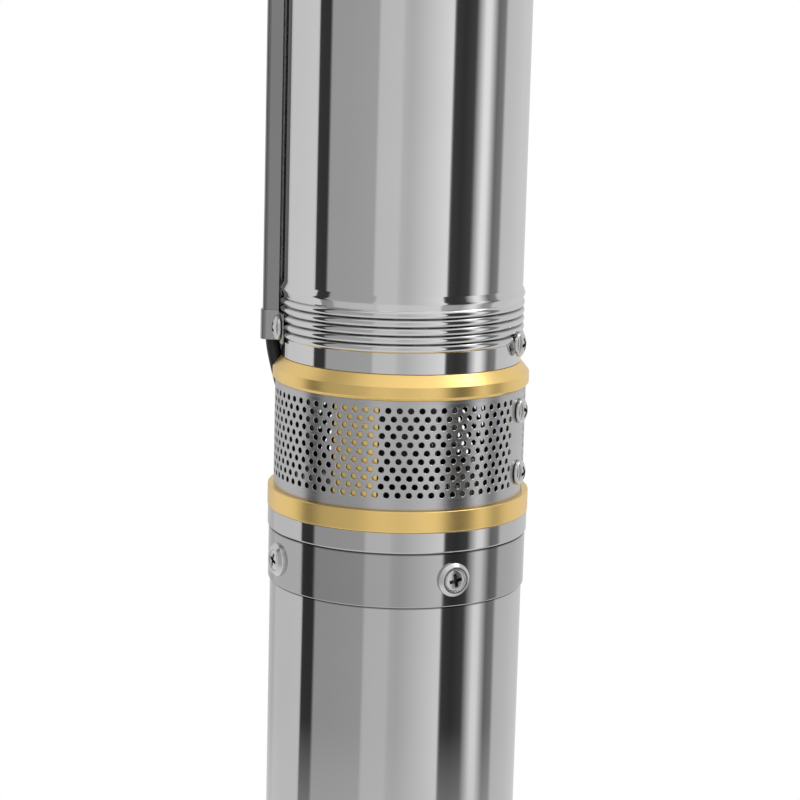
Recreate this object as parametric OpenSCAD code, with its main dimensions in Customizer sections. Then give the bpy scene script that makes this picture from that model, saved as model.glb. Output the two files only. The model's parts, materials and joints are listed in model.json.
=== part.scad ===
// Borehole submersible pump: a wet end of stacked stages over a strainer intake and a canned motor.
// Millimetres, +Z up, origin at the middle of the motor's foot, front towards -Y.
// Angles round the pump start at the front and grow towards +X.

/* [Motor] */
// Outside diameter of the motor shell
motor_d = 96.4; // [95:0.2:98]
// Height from the foot to the joint face with the intake
motor_h = 330; // [300:5:400]
// Wall of the motor shell
shell_wall = 1.5; // [1:0.1:2]
// Step from the lower brass ring in to the flange rim on top of the motor
flange_step = 0.2; // [0.1:0.1:0.4]
// Height of the flange rim
flange_h = 7.8; // [6.6:0.2:9]
// Height of the collar band under the flange
collar_h = 20.3; // [18:0.1:24]
// Sheet thickness of the collar band
collar_t = 0.7; // [0.5:0.1:1]
// Depth of the collar screws below the joint face
collar_screw_drop = 17.9; // [17:0.1:20]
// Outside diameter of a cup washer
washer_d = 12.6; // [11.8:0.1:15]
// Height of the foot below the shell
foot_h = 12; // [9:0.5:20]
// Bevel round the foot
foot_bevel = 3; // [1:0.5:5]
// Diameter of the motor shaft in its bushes
motor_shaft_d = 20; // [18:0.5:22]
// Diameter of the rotor
rotor_d = 52.8; // [48:0.4:56]
// Gap between rotor and stator
air_gap = 0.5; // [0.4:0.1:1]
// Slots in the stator
slot_count = 24; // [12:6:24]
// Bars in the rotor cage
bar_count = 20; // [12:2:22]

/* [Intake] */
// Height from the joint face to the end of the pump tube
intake_h = 57.2; // [52:0.1:70]
// Overhang of the lower brass ring past the strainer
lower_overhang = 2.2; // [2:0.1:4]
// Height of the lower brass ring
lower_ring_h = 7.9; // [6:0.1:10]
// Overhang of the upper brass ring past the pump tube
upper_overhang = 3.4; // [3:0.1:4.4]
// Height of the upright land on the upper ring
land_h = 3.8; // [3:0.1:6]
// Height of the bevel above that land
bevel_h = 4.1; // [3:0.1:6]
// Height of the small bevel below that land
undercut_h = 1.2; // [0.8:0.1:2]
// Width of each bracket column, in degrees
column_span = 21; // [16:1:24]
// Radial depth of each bracket column
column_depth = 10.4; // [9:0.1:12]
// Step from the upper ring's land in to the strainer
strainer_step = 1.1; // [0.9:0.1:1.6]
// Sheet thickness of the strainer
strainer_t = 0.8; // [0.5:0.1:1]
// Diameter of a strainer hole
hole_d = 2.2; // [1.6:0.1:2.4]
// Distance between rows of holes
row_pitch = 3.1; // [2.9:0.1:5]
// Panels round the strainer, one hole pitch wide
panel_count = 72; // [48:24:72]
// Distance from the strainer's outside in to the middle of a stud
stud_inset = 9.3; // [9:0.1:10.4]
// Diameter of a stud
stud_d = 8; // [6:0.5:8]

/* [Pump tube] */
// Outside diameter of the pump tube
tube_d = 90.2; // [89:0.2:91]
// Wall of the pump tube
tube_wall = 1.5; // [1.2:0.1:1.8]
// Plain band between the tube's end and its rolled thread
plain_band = 7.8; // [7:0.1:10]
// Pitch of the rolled thread
thread_pitch = 3.06; // [2.6:0.02:3.2]
// Height of the rolled thread above the tube
thread_rise = 0.85; // [0.5:0.05:1]
// Turns of the rolled thread
thread_turns = 5; // [3:1:5]
// Height of the rolled bead above the tube
bead_rise = 1.25; // [0.8:0.05:1.5]

/* [Stages] */
// Pump stages
stage_count = 5; // [3:1:6]
// Height of one stage
stage_h = 32; // [30:0.5:38]
// Diameter of an impeller
impeller_d = 68; // [60:1:70]
// Width of the water passage in an impeller
passage_h = 5.4; // [4:0.2:6]
// Vanes in an impeller
impeller_vanes = 6; // [4:1:8]
// Vanes in a diffuser
diffuser_vanes = 7; // [5:1:9]
// Distance across the corners of the hexagonal pump shaft
hex_d = 16; // [14:0.5:17]

/* [Discharge head] */
// Bore of the outlet, ready for a pipe thread
outlet_d = 39; // [30:0.5:42]
// Depth of the outlet thread
outlet_depth = 22; // [16:1:30]
// Height of the head's cone
cone_h = 24; // [20:1:34]
// Diameter of a rope eye
eye_d = 11; // [8:0.5:12]
// Thickness of a rope lug
lug_t = 10; // [8:0.5:14]
// Lift of the check valve
valve_lift = 9; // [6:0.5:10]

/* [Lead and guard] */
// Width of the flat motor lead
lead_w = 11; // [9:0.5:11.5]
// Thickness of the flat motor lead
lead_t = 5.2; // [3.6:0.1:5.2]
// Width of the guard channel outside
guard_w = 14.6; // [14:0.2:16]
// Height of the guard's face over the bead
guard_rise = 6; // [6:0.1:8]
// Sheet of the guard and its straps
guard_t = 0.6; // [0.5:0.05:0.65]
// Height of a strap
strap_h = 11.2; // [10:0.2:14]

/* [Screws] */
// Thread diameter of the small screws
screw_d = 5; // [4:0.5:5]
// Head diameter of a pan screw
pan_d = 9.5; // [8:0.1:10]
// Head height of a pan screw
pan_h = 2.8; // [2.2:0.1:3.2]
// Head diameter of a countersunk screw
csk_d = 8.2; // [8:0.1:9]

/* [Hidden] */
$fn = 96;
// Sides of a large round cut that shapes a small piece
fine_fn = 720;
// Clearances: seated faces, fixed fits, running fits, past moving pieces, under thrust faces, of sheet
seat_gap = 0.05;
fit_gap = 0.05;
run_gap = 0.06;
free_gap = 0.4;
thrust_gap = 0.3;
sheet_gap = 0.15;
strap_gap = 0.1;
// Overlap that makes a joined feature one solid, and reach of a cut past a face
weld = 0.2;
past = 1;

// Angles of the features round the pump
quarter = 90;
third = 120;
column_az = -20;
seam_az = 70;
seam_span = 20;
seam_slit_az = 77.5;
stud_az = 25.6;
lead_low_az = -90;
lead_az = -96;
slot_az = (lead_low_az + lead_az) / 2;
lug_az = 0;
base_screw_az = 45;
guide_rib_az = 30;

// Tube radii
tube_r = tube_d / 2;
tube_bore_r = tube_r - tube_wall;
neck_r = tube_bore_r - fit_gap;
neck_l = 30;
neck_bore_r = 34;
tube_step = 0.1;
crest_r = tube_r + thread_rise;
rib_round = (thread_pitch * thread_pitch / 4 + thread_rise * thread_rise) / (2 * thread_rise);
bead_r = tube_r + bead_rise;
bead_round = 3.4;
bead_half = sqrt(bead_round * bead_round - pow(bead_round - bead_rise, 2));
bead_level = plain_band + thread_turns * thread_pitch + bead_half;
lock_level = 8.1;
strap_level = 10.95;

// Intake radii
upper_ring_r = tube_r + upper_overhang;
strainer_r = upper_ring_r - strainer_step;
sheet_in_r = strainer_r - strainer_t;
column_r = sheet_in_r - sheet_gap;
column_in_r = column_r - column_depth;
lower_ring_r = strainer_r + lower_overhang;
stud_circle_r = strainer_r - stud_inset;

// Motor radii and levels
motor_r = motor_d / 2;
shell_r = motor_r - shell_wall;
core_r = shell_r - fit_gap;
flange_r = lower_ring_r - flange_step;
collar_r = motor_r + seat_gap + collar_t;
base_rim = 12.6;
base_floor = 8;
base_taper = 4;
spigot_h = 18;
base_screw_rise = 8;
base_screw_l = 10;
base_screw_proud = 0.6;
vent_d = 5;
vent_circle_r = 20;
membrane_t = 2;
dish_depth = 8;
dish_r = 12;
dish_rim_r = 22;
plate_t = 5;
pad_h = 5;
pad_count = 6;
pad_in_r = 12;
pad_w = 15;
pad_span = 44;
disc_h = 6;
disc_floor = 2;
disc_r = pad_in_r + pad_w + 1;
stub_r = 5;
bell_cavity_h = 16;
bell_cavity_r = disc_r + 11;
bell_bevel = 3;
web_h = 12;
winding_over = 18;
winding_end_gap = 2;
winding_room = 6;
bell_h = 30;
seal_depth = 14;
z_membrane = foot_h + spigot_h + seat_gap;
z_plate = z_membrane + membrane_t + seat_gap;
z_bell = z_plate + plate_t + seat_gap;
z_disc = z_bell + pad_h + thrust_gap;
z_shaft = z_disc + disc_h + seat_gap;
z_web = z_bell + bell_cavity_h;
z_core = z_web + web_h + winding_over + winding_room;
z_joint = motor_h;
z_bell_top = z_joint - bell_h;
z_core_top = z_bell_top - winding_over - 2 * winding_room;
z_shell = foot_h + seat_gap;
z_shell_top = z_joint - flange_h - seat_gap;
z_seal = z_joint - seal_depth;
z_base_screw = foot_h + base_screw_rise;
z_collar_screw = z_joint - collar_screw_drop;
core_h = z_core_top - z_core;
shaft_r = motor_shaft_d / 2;
shaft_over = 10;
bush_wall = 4;
bush_r = shaft_r + bush_wall;
rotor_r = rotor_d / 2;
core_bore_r = rotor_r + air_gap;
slot_w = 3.6;
slot_in = 2;
slot_depth = 11;
bar_d = 4;
bar_circle_r = rotor_r - 4;
end_ring_h = 8;
rotor_bore_r = shaft_r + 2;
washer_rise = 2;
washer_lip = 1.2;
washer_land = 0.9;
washer_sink = 0.3;
washer_rim = collar_r + washer_rise;
collar_screw_l = 12;
csk_h = (csk_d - screw_d) / 2;

// Shaft seal and sand slinger
seal_wall = 3;
seal_r = bush_r + seal_wall;
seat_ring_h = 4;
seal_face_h = 3;
seal_head_h = 8.5;
seal_step = 1.5;
slinger_lift = 1.2;
slinger_r = 21;
slinger_lip = 1.2;
slinger_slope_h = 3.4;
slinger_h = 6;
slinger_hub = 3;

// Intake levels and small sizes
ring_bore_r = slinger_r + 3;
ring_edge = 0.4;
z_ring_top = z_joint + lower_ring_h;
z_tube = z_joint + intake_h;
z_land_top = z_tube - bevel_h;
z_land = z_land_top - land_h;
z_undercut = z_land - undercut_h;
strainer_h = z_undercut - z_ring_top - 2 * seat_gap;
top_margin = 3.6;
bottom_margin = 4;
hole_rows = floor((strainer_h - top_margin - bottom_margin) / row_pitch) + 1;
panel_az = 360 / panel_count;
seam_slit = 0.6;
stud_room = 0.6;
nut_d = 1.875 * stud_d;
nut_h = 0.8 * stud_d;
stud_over = 2;
strainer_screw_levels = [9, 32.4];
hub_wall = 4;
spoke_w = 6;
spoke_h = 16;

// Levels of the tube and the stack
spider_h = 14;
z_stack = z_tube + neck_l + seat_gap;
z_spider = z_stack + stage_count * stage_h;
z_neck_end = z_spider + spider_h + seat_gap;
z_head = z_neck_end + neck_l;
tube_len = z_head - z_tube - 2 * seat_gap;

// Stage sizes, from the foot of one stage
bowl_r = tube_bore_r - sheet_gap;
bowl_t = 2;
bowl_bore_r = bowl_r - bowl_t;
floor_t = 2.5;
eye_r = 19;
eye_in_r = 15.5;
shroud_t = 1.6;
shroud_low = 4;
shroud_high = shroud_low + shroud_t + passage_h;
impeller_r = impeller_d / 2;
hub_low = 1;
vane_t = 1.6;
vane_root = 4;
vane_back = 1;
vane_pull = 0.84;
vane_bow = 0.93;
disc_room = 1.4;
disc_low = shroud_high + shroud_t + disc_room;
disc_t = 2;
diffuser_r = (impeller_r + bowl_bore_r) / 2;
diffuser_reach = bowl_bore_r - sheet_gap;
hub_room = 0.5;

// Shaft line
hex_r = hex_d / 2;
hub_r = hex_r + 2.5;
pump_shaft_r = hex_r - free_gap;
journal_r = 6.5;
coupling_r = 14.5;
coupling_low = 12;
coupling_high = 60;
coupling_bevel = 1.5;
coupling_screw_in = 12;
coupling_screw_levels = [coupling_low + coupling_screw_in, coupling_high - coupling_screw_in];
shaft_meet = 36.5;
bearing_wall = 3;
intake_bush_low = 62;
intake_bush_h = 22;
spider_rim = 5;
spider_spoke_w = 5;
spider_spoke_drop = 3;
nut_level = 5;
nut_wall = 4;

// Discharge head
z_cone = z_head + bevel_h + land_h + undercut_h;
z_boss = z_cone + cone_h;
z_outlet = z_boss + outlet_depth;
outlet_r = outlet_d / 2;
boss_wall = 9;
boss_r = outlet_r + boss_wall;
boss_flat = 1;
boss_tip = 2;
throat_r = outlet_r - 2.5;
throat_h = 2;
cavity_r = 32;
guide_h = 13;
guide_r = 8;
guide_rib_t = 4;
guide_rib_low = 3;
guide_rib_h = 8;
stem_room = 3;
z_guide = z_boss - valve_lift - stem_room - guide_h;
eye_level = 29;
eye_circle_r = 37.5;
lug_r = 10;
lug_sink = 4;
lug_root_r = boss_r - 8;
head_notch_h = 10;

// Check valve
seat_r = 35;
seat_h = 8;
seat_dip = 2;
seat_lip = 1.5;
valve_room = 2;
valve_r = 20.5;
valve_h = 4;
valve_edge = 2;
valve_bevel = 3;
seal_h = 2;
seal_bore_r = 6;
port_r = 17;
stem_r = 4;
stem_tip = 1;
z_seat = z_neck_end + seat_gap;
z_seal_face = z_seat + seat_h + thrust_gap;
z_valve = z_seal_face + seal_h + seat_gap;
z_valve_top = z_valve + valve_h;

// Spring of the check valve
spring_wire = 1.8;
spring_r = stem_r + 1 + spring_wire;
spring_turns = 6;
spring_steps = 14;
spring_sides = 6;
z_spring = z_valve_top + seat_gap;
spring_l = z_guide - z_spring - seat_gap;

// Radius where the screws through the tube end, clear of what lies inside both necks
tip_wall = 3;
tip_r = max(seat_r, neck_bore_r) + tip_wall;
strainer_tip_r = column_in_r + tip_wall;

// Guard and straps
guard_face = bead_r + guard_rise;
guard_half = guard_w / 2;
guard_foot = sqrt(bead_r * bead_r - pow(guard_half - guard_t, 2)) + strap_gap;
guard_bend = 2;
strap_bend = 2.5;
strap_face = guard_face + strap_gap + guard_t;
strap_half = guard_half + strap_gap + guard_t;
ear_in_r = crest_r + strap_gap;
ear_r = ear_in_r + guard_t;
ear_az = 17.5;
ear_end_az = 23.7;
z_lower_strap = z_tube + strap_level;
z_upper_strap = z_head - strap_level;
guard_below = 4;
guard_short = 3;
z_guard = z_lower_strap - guard_below;
z_guard_top = z_head - guard_short;

// Lead: where it runs inside the strainer and under the guard, and the room round it
lead_inset = 3.3;
lead_low_r = min(shell_r, sheet_in_r) - lead_inset - lead_t / 2;
lead_up_r = guard_face - guard_t - strap_gap - lead_t / 2;
lead_dip = 6;
lead_room = 1.7;
lead_slot_w = lead_w + 2 * lead_room;
lead_slot_h = 8.5;
gland_side = 3;
gland_wall = 2.2;
gland_w = lead_w + 2 * gland_side;
gland_in_r = lead_low_r - lead_t / 2 - gland_wall;
gland_out_r = lead_low_r + lead_t / 2 + gland_wall;
lead_end = 26;
core_l = 26;
core_d = 2.6;
core_bare = 10;
core_wire = 0.55;
core_pitch = core_d + 0.6;

// Route of the lead, chosen by hand: height over the joint face, share of the way out, share of the turn
lead_steps = [[-lead_dip, 0, 0], [2, 0, 0], [10, 0, 0], [18, 0.02, 0], [26, 0.1, 0.05],
  [33, 0.2, 0.1], [39, 0.34, 0.18], [44.5, 0.5, 0.28], [50, 0.76, 0.45], [55, 1, 0.68],
  [58.5, 1.08, 0.84], [61, 1.05, 0.93], [63.5, 1, 1], [66, 1, 1], [72, 1, 1], [90, 1, 1],
  [150, 1, 1], [z_head - z_joint, 1, 1], [z_head - z_joint + lead_end, 1, 1]];
lead_route = [for (p = lead_steps) [lead_low_r + p[1] * (lead_up_r - lead_low_r), p[0]]];
lead_turn = [for (p = lead_steps) lead_low_az + p[2] * (lead_az - lead_low_az)];
lead_flat = (lead_w - lead_t) / 2;
lead_section = [for (a = [-60 : 60 : 60]) [lead_t / 2 * sin(a), lead_flat + lead_t / 2 * cos(a)]];
lead_loop = concat(lead_section, [for (q = lead_section) -q]);

STAGES = [1 : stage_count];

// Angle at a vane's centre where its arc crosses a radius
function crossing(d, arc, r) = acos((d * d + arc * arc - r * r) / (2 * d * arc));
// Distance between two angles
function apart(a, b) = abs((a - b + 900) % 360 - 180);
// Points of a many-sided ring whose flats lie at a radius
function panel_points(r) = [for (k = [0 : panel_count - 1])
  let (a = (k + 0.5) * panel_az) r / cos(panel_az / 2) * [sin(a), -cos(a)]];
// Unit vector along a route at one of its points
function unit(v) = v / norm(v);
function heading(route, i) = unit(route[min(i + 1, len(route) - 1)] - route[max(i - 1, 0)]);
// Faces of a tube with a number of rings and sides
function tube_faces(rings, sides) = concat(
  [[for (k = [0 : sides - 1]) k]],
  [for (i = [0 : rings - 2], k = [0 : sides - 1]) let (n = (k + 1) % sides)
    [i * sides + k, (i + 1) * sides + k, (i + 1) * sides + n, i * sides + n]],
  [[for (k = [sides - 1 : -1 : 0]) (rings - 1) * sides + k]]);

// Places for features that repeat: outward along a radius, or four round the pump
module radial(az, z) translate([0, 0, z]) rotate([0, 0, az]) rotate([90, 0, 0]) children();
module towards(az) rotate([0, 0, az]) children();
module four_from(az) for (k = [0 : 3]) rotate([0, 0, az + quarter * k]) children();
module four_radial(az, z) for (k = [0 : 3]) radial(az + quarter * k, z) children();
module both_ears(z) for (s = [-1, 1]) radial(lead_az + s * ear_az, z) children();

// A ring with square edges
module ring(r_out, r_in, h) {
  rotate_extrude() translate([r_in, 0]) square([r_out - r_in, h]);
}

// Cross recess of a screw head, cut from the top down
module cross_recess(top, size) {
  for (a = [0, quarter])
    rotate([0, 0, a])
      translate([-size / 2, -size / 8, top - size / 3])
        cube([size, size / 4, size]);
}

// Pan screw along +Z from its tip to the seat of its head
module pan_screw(tip, seat) {
  dome = pan_d * 0.84;
  difference() {
    translate([0, 0, seat]) intersection() {
      cylinder(d = pan_d, h = pan_h);
      translate([0, 0, pan_h - dome]) sphere(dome);
    }
    cross_recess(seat + pan_h, pan_d / 2);
  }
  translate([0, 0, tip]) cylinder(d = screw_d, h = seat - tip + weld);
}

// Countersunk screw along +Z with the rim of its head at a level
module csk_screw(rim, length) {
  crown = csk_d * 1.6;
  crown_h = crown - sqrt(crown * crown - csk_d * csk_d / 4);
  difference() {
    union() {
      translate([0, 0, rim - csk_h]) cylinder(d1 = screw_d, d2 = csk_d, h = csk_h);
      translate([0, 0, rim]) intersection() {
        cylinder(d = csk_d, h = crown_h);
        translate([0, 0, crown_h - crown]) sphere(crown);
      }
    }
    cross_recess(rim + crown_h, csk_d / 2);
  }
  translate([0, 0, rim - length]) cylinder(d = screw_d, h = length - csk_h + weld);
}

// Hole for a small screw along +Z
module screw_hole(from, to) {
  translate([0, 0, from]) cylinder(d = screw_d + 2 * fit_gap, h = to - from);
}

// One curved vane between two radii, on an arc about a centre off the axis
module arc_vane(r_in, r_out, h) {
  centre = vane_pull * (r_in + r_out) / 2;
  arc = vane_bow * (r_in + r_out) / 2;
  low = crossing(centre, arc, r_in);
  high = crossing(centre, arc, r_out);
  translate([centre, 0, 0])
    rotate([0, 0, 180 + low])
      rotate_extrude(angle = high - low)
        translate([arc - vane_t / 2, 0]) square([vane_t, h]);
}

// Motor
module motor_base() color("silver") difference() {
  rotate_extrude() polygon([[0, 0], [motor_r - foot_bevel, 0], [motor_r, foot_bevel], [motor_r, foot_h],
    [core_r, foot_h], [core_r, foot_h + spigot_h], [core_r - base_rim, foot_h + spigot_h],
    [core_r - base_rim - base_taper, base_floor], [0, base_floor]]);
  four_from(0) translate([vent_circle_r, 0, -past]) cylinder(d = vent_d, h = base_floor + 2 * past);
  four_radial(base_screw_az, z_base_screw) screw_hole(motor_r - base_screw_l - past, motor_r);
}

module base_screws() color("gainsboro") {
  four_radial(base_screw_az, z_base_screw) csk_screw(motor_r + base_screw_proud, base_screw_l);
}

module diaphragm() color("dimgray") {
  rotate_extrude() translate([0, z_membrane])
    polygon([[0, -dish_depth], [dish_r, -dish_depth], [dish_rim_r, 0], [core_r, 0],
      [core_r, membrane_t], [dish_rim_r - membrane_t / 2, membrane_t],
      [dish_r - membrane_t / 2, membrane_t - dish_depth], [0, membrane_t - dish_depth]]);
}

module thrust_plate() color("gray") {
  translate([0, 0, z_plate]) ring(core_r, 0, plate_t);
}

module thrust_pads() color("saddlebrown") {
  for (k = [0 : pad_count - 1])
    rotate([0, 0, 360 / pad_count * k])
      rotate_extrude(angle = pad_span) translate([pad_in_r, z_bell]) square([pad_w, pad_h]);
}

module thrust_disc() color("dimgray") difference() {
  translate([0, 0, z_disc]) ring(disc_r, 0, disc_h);
  translate([0, 0, z_disc + disc_floor]) cylinder(r = stub_r + fit_gap, h = disc_h);
}

module lower_end_bell() color("darkgray") {
  rotate_extrude() polygon([[bush_r + fit_gap, z_web], [bell_cavity_r - bell_bevel, z_web],
    [bell_cavity_r, z_web - bell_bevel], [bell_cavity_r, z_bell], [core_r, z_bell],
    [core_r, z_web + web_h], [bush_r + fit_gap, z_web + web_h]]);
}

module lower_bush() color("peru") translate([0, 0, z_web]) ring(bush_r, shaft_r + run_gap, web_h);

module motor_shell() color("silver") difference() {
  translate([0, 0, z_shell]) ring(motor_r, shell_r, z_shell_top - z_shell);
  four_radial(base_screw_az, z_base_screw) {
    screw_hole(shell_r - past, motor_r + past);
    translate([0, 0, motor_r + base_screw_proud - csk_h - seat_gap])
      cylinder(d1 = screw_d + 2 * seat_gap, d2 = csk_d + 4 * past, h = csk_h + 2 * past);
  }
  four_radial(stud_az, z_collar_screw) screw_hole(shell_r - past, motor_r + past);
}

module stator_slots(extra) {
  for (k = [0 : slot_count - 1])
    rotate(360 / slot_count * k)
      translate([core_bore_r + slot_in - extra, -slot_w / 2 - extra])
        square([slot_depth + 2 * extra, slot_w + 2 * extra]);
}

module stator_core() color("slategray") translate([0, 0, z_core]) {
  linear_extrude(core_h) difference() {
    circle(core_r);
    circle(core_bore_r);
    stator_slots(fit_gap);
  }
}

module stator_windings() color("darkorange") {
  translate([0, 0, z_core - winding_over]) linear_extrude(core_h + 2 * winding_over) stator_slots(0);
  for (z = [z_core - winding_over, z_core_top + winding_end_gap])
    translate([0, 0, z])
      ring(core_bore_r + slot_in + slot_depth, core_bore_r + slot_in, winding_over - winding_end_gap);
}

module rotor_core() color("lightslategray") translate([0, 0, z_core]) {
  linear_extrude(core_h) difference() {
    circle(rotor_r);
    circle(rotor_bore_r + fit_gap);
    for (k = [0 : bar_count - 1])
      rotate(360 / bar_count * k) translate([bar_circle_r, 0]) circle(d = bar_d + 2 * fit_gap);
  }
}

module rotor_cage() color("lightgray") {
  translate([0, 0, z_core - end_ring_h])
    for (k = [0 : bar_count - 1])
      rotate([0, 0, 360 / bar_count * k])
        translate([bar_circle_r, 0, 0]) cylinder(d = bar_d, h = core_h + 2 * end_ring_h);
  for (z = [z_core - end_ring_h, z_core_top + seat_gap])
    translate([0, 0, z]) ring(rotor_r - free_gap, bar_circle_r - bar_d, end_ring_h - seat_gap);
}

module motor_shaft() color("silver") {
  translate([0, 0, z_shaft]) cylinder(r = shaft_r, h = z_joint + shaft_over - z_shaft);
  translate([0, 0, z_disc + disc_floor + seat_gap]) cylinder(r = stub_r, h = disc_h);
  translate([0, 0, z_core - end_ring_h]) cylinder(r = rotor_bore_r, h = core_h + 2 * end_ring_h);
  translate([0, 0, z_joint]) cylinder(r = pump_shaft_r, h = shaft_meet - seat_gap);
}

module upper_end_bell() color("lightgray") difference() {
  rotate_extrude() polygon([[bush_r + fit_gap, z_bell_top], [core_r, z_bell_top],
    [core_r, z_joint - flange_h], [flange_r, z_joint - flange_h], [flange_r, z_joint - ring_edge],
    [flange_r - ring_edge, z_joint], [seal_r, z_joint], [seal_r, z_seal], [bush_r + fit_gap, z_seal]]);
  four_from(stud_az)
    translate([0, -stud_circle_r, z_seal]) cylinder(d = stud_d + 2 * fit_gap, h = seal_depth + past);
  four_radial(stud_az, z_collar_screw) screw_hole(washer_rim - collar_screw_l - past, core_r + past);
  towards(lead_low_az) translate([-gland_w / 2, -gland_out_r, z_bell_top - past])
    cube([gland_w, gland_out_r - gland_in_r, bell_h + 2 * past]);
}

module upper_bush() color("peru") {
  translate([0, 0, z_bell_top]) ring(bush_r, shaft_r + run_gap, bell_h - seal_depth);
}

module seal_seat() color("gainsboro") {
  translate([0, 0, z_seal + seat_gap]) ring(seal_r - fit_gap, shaft_r + free_gap, seat_ring_h);
}

module seal_head() color("dimgray") translate([0, 0, z_seal + seat_gap + seat_ring_h + thrust_gap]) {
  rotate_extrude() polygon([[shaft_r + fit_gap, 0], [bush_r, 0], [bush_r, seal_face_h],
    [bush_r - seal_step, seal_face_h + past], [bush_r - seal_step, seal_head_h],
    [shaft_r + fit_gap, seal_head_h]]);
}

module sand_slinger() color("black") translate([0, 0, z_joint + slinger_lift]) {
  rotate_extrude() polygon([[shaft_r + fit_gap, 0], [slinger_r, 0], [slinger_r, slinger_lip],
    [shaft_r + slinger_hub, slinger_slope_h], [shaft_r + slinger_hub, slinger_h],
    [shaft_r + fit_gap, slinger_h]]);
}

module lead_gland() color("black") towards(lead_low_az) difference() {
  translate([-gland_w / 2 + fit_gap, -gland_out_r + fit_gap, z_seal])
    cube([gland_w - 2 * fit_gap, gland_out_r - gland_in_r - 2 * fit_gap, seal_depth - seat_gap]);
  translate([-lead_w / 2 - sheet_gap, -lead_low_r - lead_t / 2 - sheet_gap, z_joint - lead_dip - seat_gap])
    cube([lead_w + 2 * sheet_gap, lead_t + 2 * sheet_gap, seal_depth]);
}

module motor_collar() color("silver") difference() {
  translate([0, 0, z_shell_top - collar_h]) ring(collar_r, motor_r + seat_gap, collar_h);
  four_radial(stud_az, z_collar_screw) screw_hole(motor_r - past, collar_r + past);
}

module cup_washers() color("gainsboro") difference() {
  four_radial(stud_az, z_collar_screw)
    rotate_extrude() polygon([[screw_d / 2 + fit_gap, motor_r], [washer_d / 2, motor_r],
      [washer_d / 2, washer_rim - washer_lip], [csk_d / 2 + washer_land, washer_rim],
      [csk_d / 2 + fit_gap, washer_rim], [csk_d / 2 + fit_gap, washer_rim - washer_sink],
      [screw_d / 2 + fit_gap, washer_rim - washer_sink - csk_h]]);
  cylinder(r = collar_r + seat_gap, h = z_joint, $fn = fine_fn);
}

module collar_screws() color("gainsboro") {
  four_radial(stud_az, z_collar_screw) csk_screw(washer_rim - washer_sink + seat_gap, collar_screw_l);
}

// Intake
module bracket_rings() {
  rotate_extrude() polygon([[ring_bore_r, z_joint + seat_gap], [lower_ring_r, z_joint + seat_gap],
    [lower_ring_r, z_ring_top - ring_edge], [lower_ring_r - ring_edge, z_ring_top],
    [ring_bore_r, z_ring_top]]);
  rotate_extrude() polygon([[neck_bore_r, z_undercut], [strainer_r, z_undercut], [upper_ring_r, z_land],
    [upper_ring_r, z_land_top], [tube_r + tube_step, z_tube], [neck_r, z_tube], [neck_r, z_tube + neck_l],
    [neck_bore_r, z_tube + neck_l]]);
}

module bracket_columns() {
  four_from(column_az - column_span / 2 - quarter)
    rotate_extrude(angle = column_span)
      translate([column_in_r, z_ring_top - weld])
        square([column_depth, z_undercut - z_ring_top + 2 * weld]);
}

module bracket_hub() translate([0, 0, z_joint + intake_bush_low]) {
  hub_in_r = pump_shaft_r + bearing_wall + fit_gap;
  ring(hub_in_r + hub_wall, hub_in_r, intake_bush_h);
  for (k = [0 : 2])
    rotate([0, 0, third * k])
      translate([hub_in_r + hub_wall - past, -spoke_w / 2, 0])
        cube([neck_bore_r - hub_in_r - hub_wall + 2 * past, spoke_w, spoke_h]);
}

module intake_bracket() color("goldenrod") difference() {
  union() {
    bracket_rings();
    bracket_columns();
    bracket_hub();
  }
  four_from(stud_az)
    translate([0, -stud_circle_r, z_joint - past])
      cylinder(d = stud_d + stud_room, h = lower_ring_h + 2 * past);
  towards(lead_low_az)
    translate([-lead_slot_w / 2, -lead_low_r - lead_t / 2 - lead_room, z_joint - past])
      cube([lead_slot_w, lead_t + 2 * lead_room, lower_ring_h + 2 * past]);
  towards(slot_az)
    translate([-lead_slot_w / 2, -upper_ring_r - past, z_undercut - past])
      cube([lead_slot_w, upper_ring_r - neck_r + 2 * past, z_tube - z_undercut + past]);
  for (level = strainer_screw_levels)
    radial(seam_az, z_ring_top + level) screw_hole(strainer_tip_r - past, column_r + past);
  radial(seam_az, z_tube + lock_level) screw_hole(tip_r - past, neck_r + past);
  both_ears(z_lower_strap) screw_hole(tip_r - past, neck_r + past);
}

module bracket_studs() color("gainsboro") four_from(stud_az) {
  translate([0, -stud_circle_r, z_seal + past])
    cylinder(d = stud_d, h = z_ring_top + nut_h + stud_over - z_seal - past);
}

module bracket_nuts() color("gainsboro") {
  four_from(stud_az) translate([0, -stud_circle_r, z_ring_top + seat_gap]) difference() {
    cylinder(d = nut_d, h = nut_h, $fn = 6);
    translate([0, 0, -past]) cylinder(d = stud_d + 2 * fit_gap, h = nut_h + 2 * past);
  }
}

module shaft_coupling() color("silver") translate([0, 0, z_joint]) difference() {
  rotate_extrude() polygon([[pump_shaft_r + fit_gap, coupling_low],
    [coupling_r - coupling_bevel, coupling_low], [coupling_r, coupling_low + coupling_bevel],
    [coupling_r, coupling_high - coupling_bevel], [coupling_r - coupling_bevel, coupling_high],
    [pump_shaft_r + fit_gap, coupling_high]]);
  for (level = coupling_screw_levels) radial(seam_az, level) screw_hole(0, coupling_r + past);
}

module coupling_screws() color("dimgray") translate([0, 0, z_joint]) {
  for (level = coupling_screw_levels)
    radial(seam_az, level) translate([0, 0, pump_shaft_r + seat_gap])
      cylinder(d = screw_d, h = coupling_r - pump_shaft_r - past);
}

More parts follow.
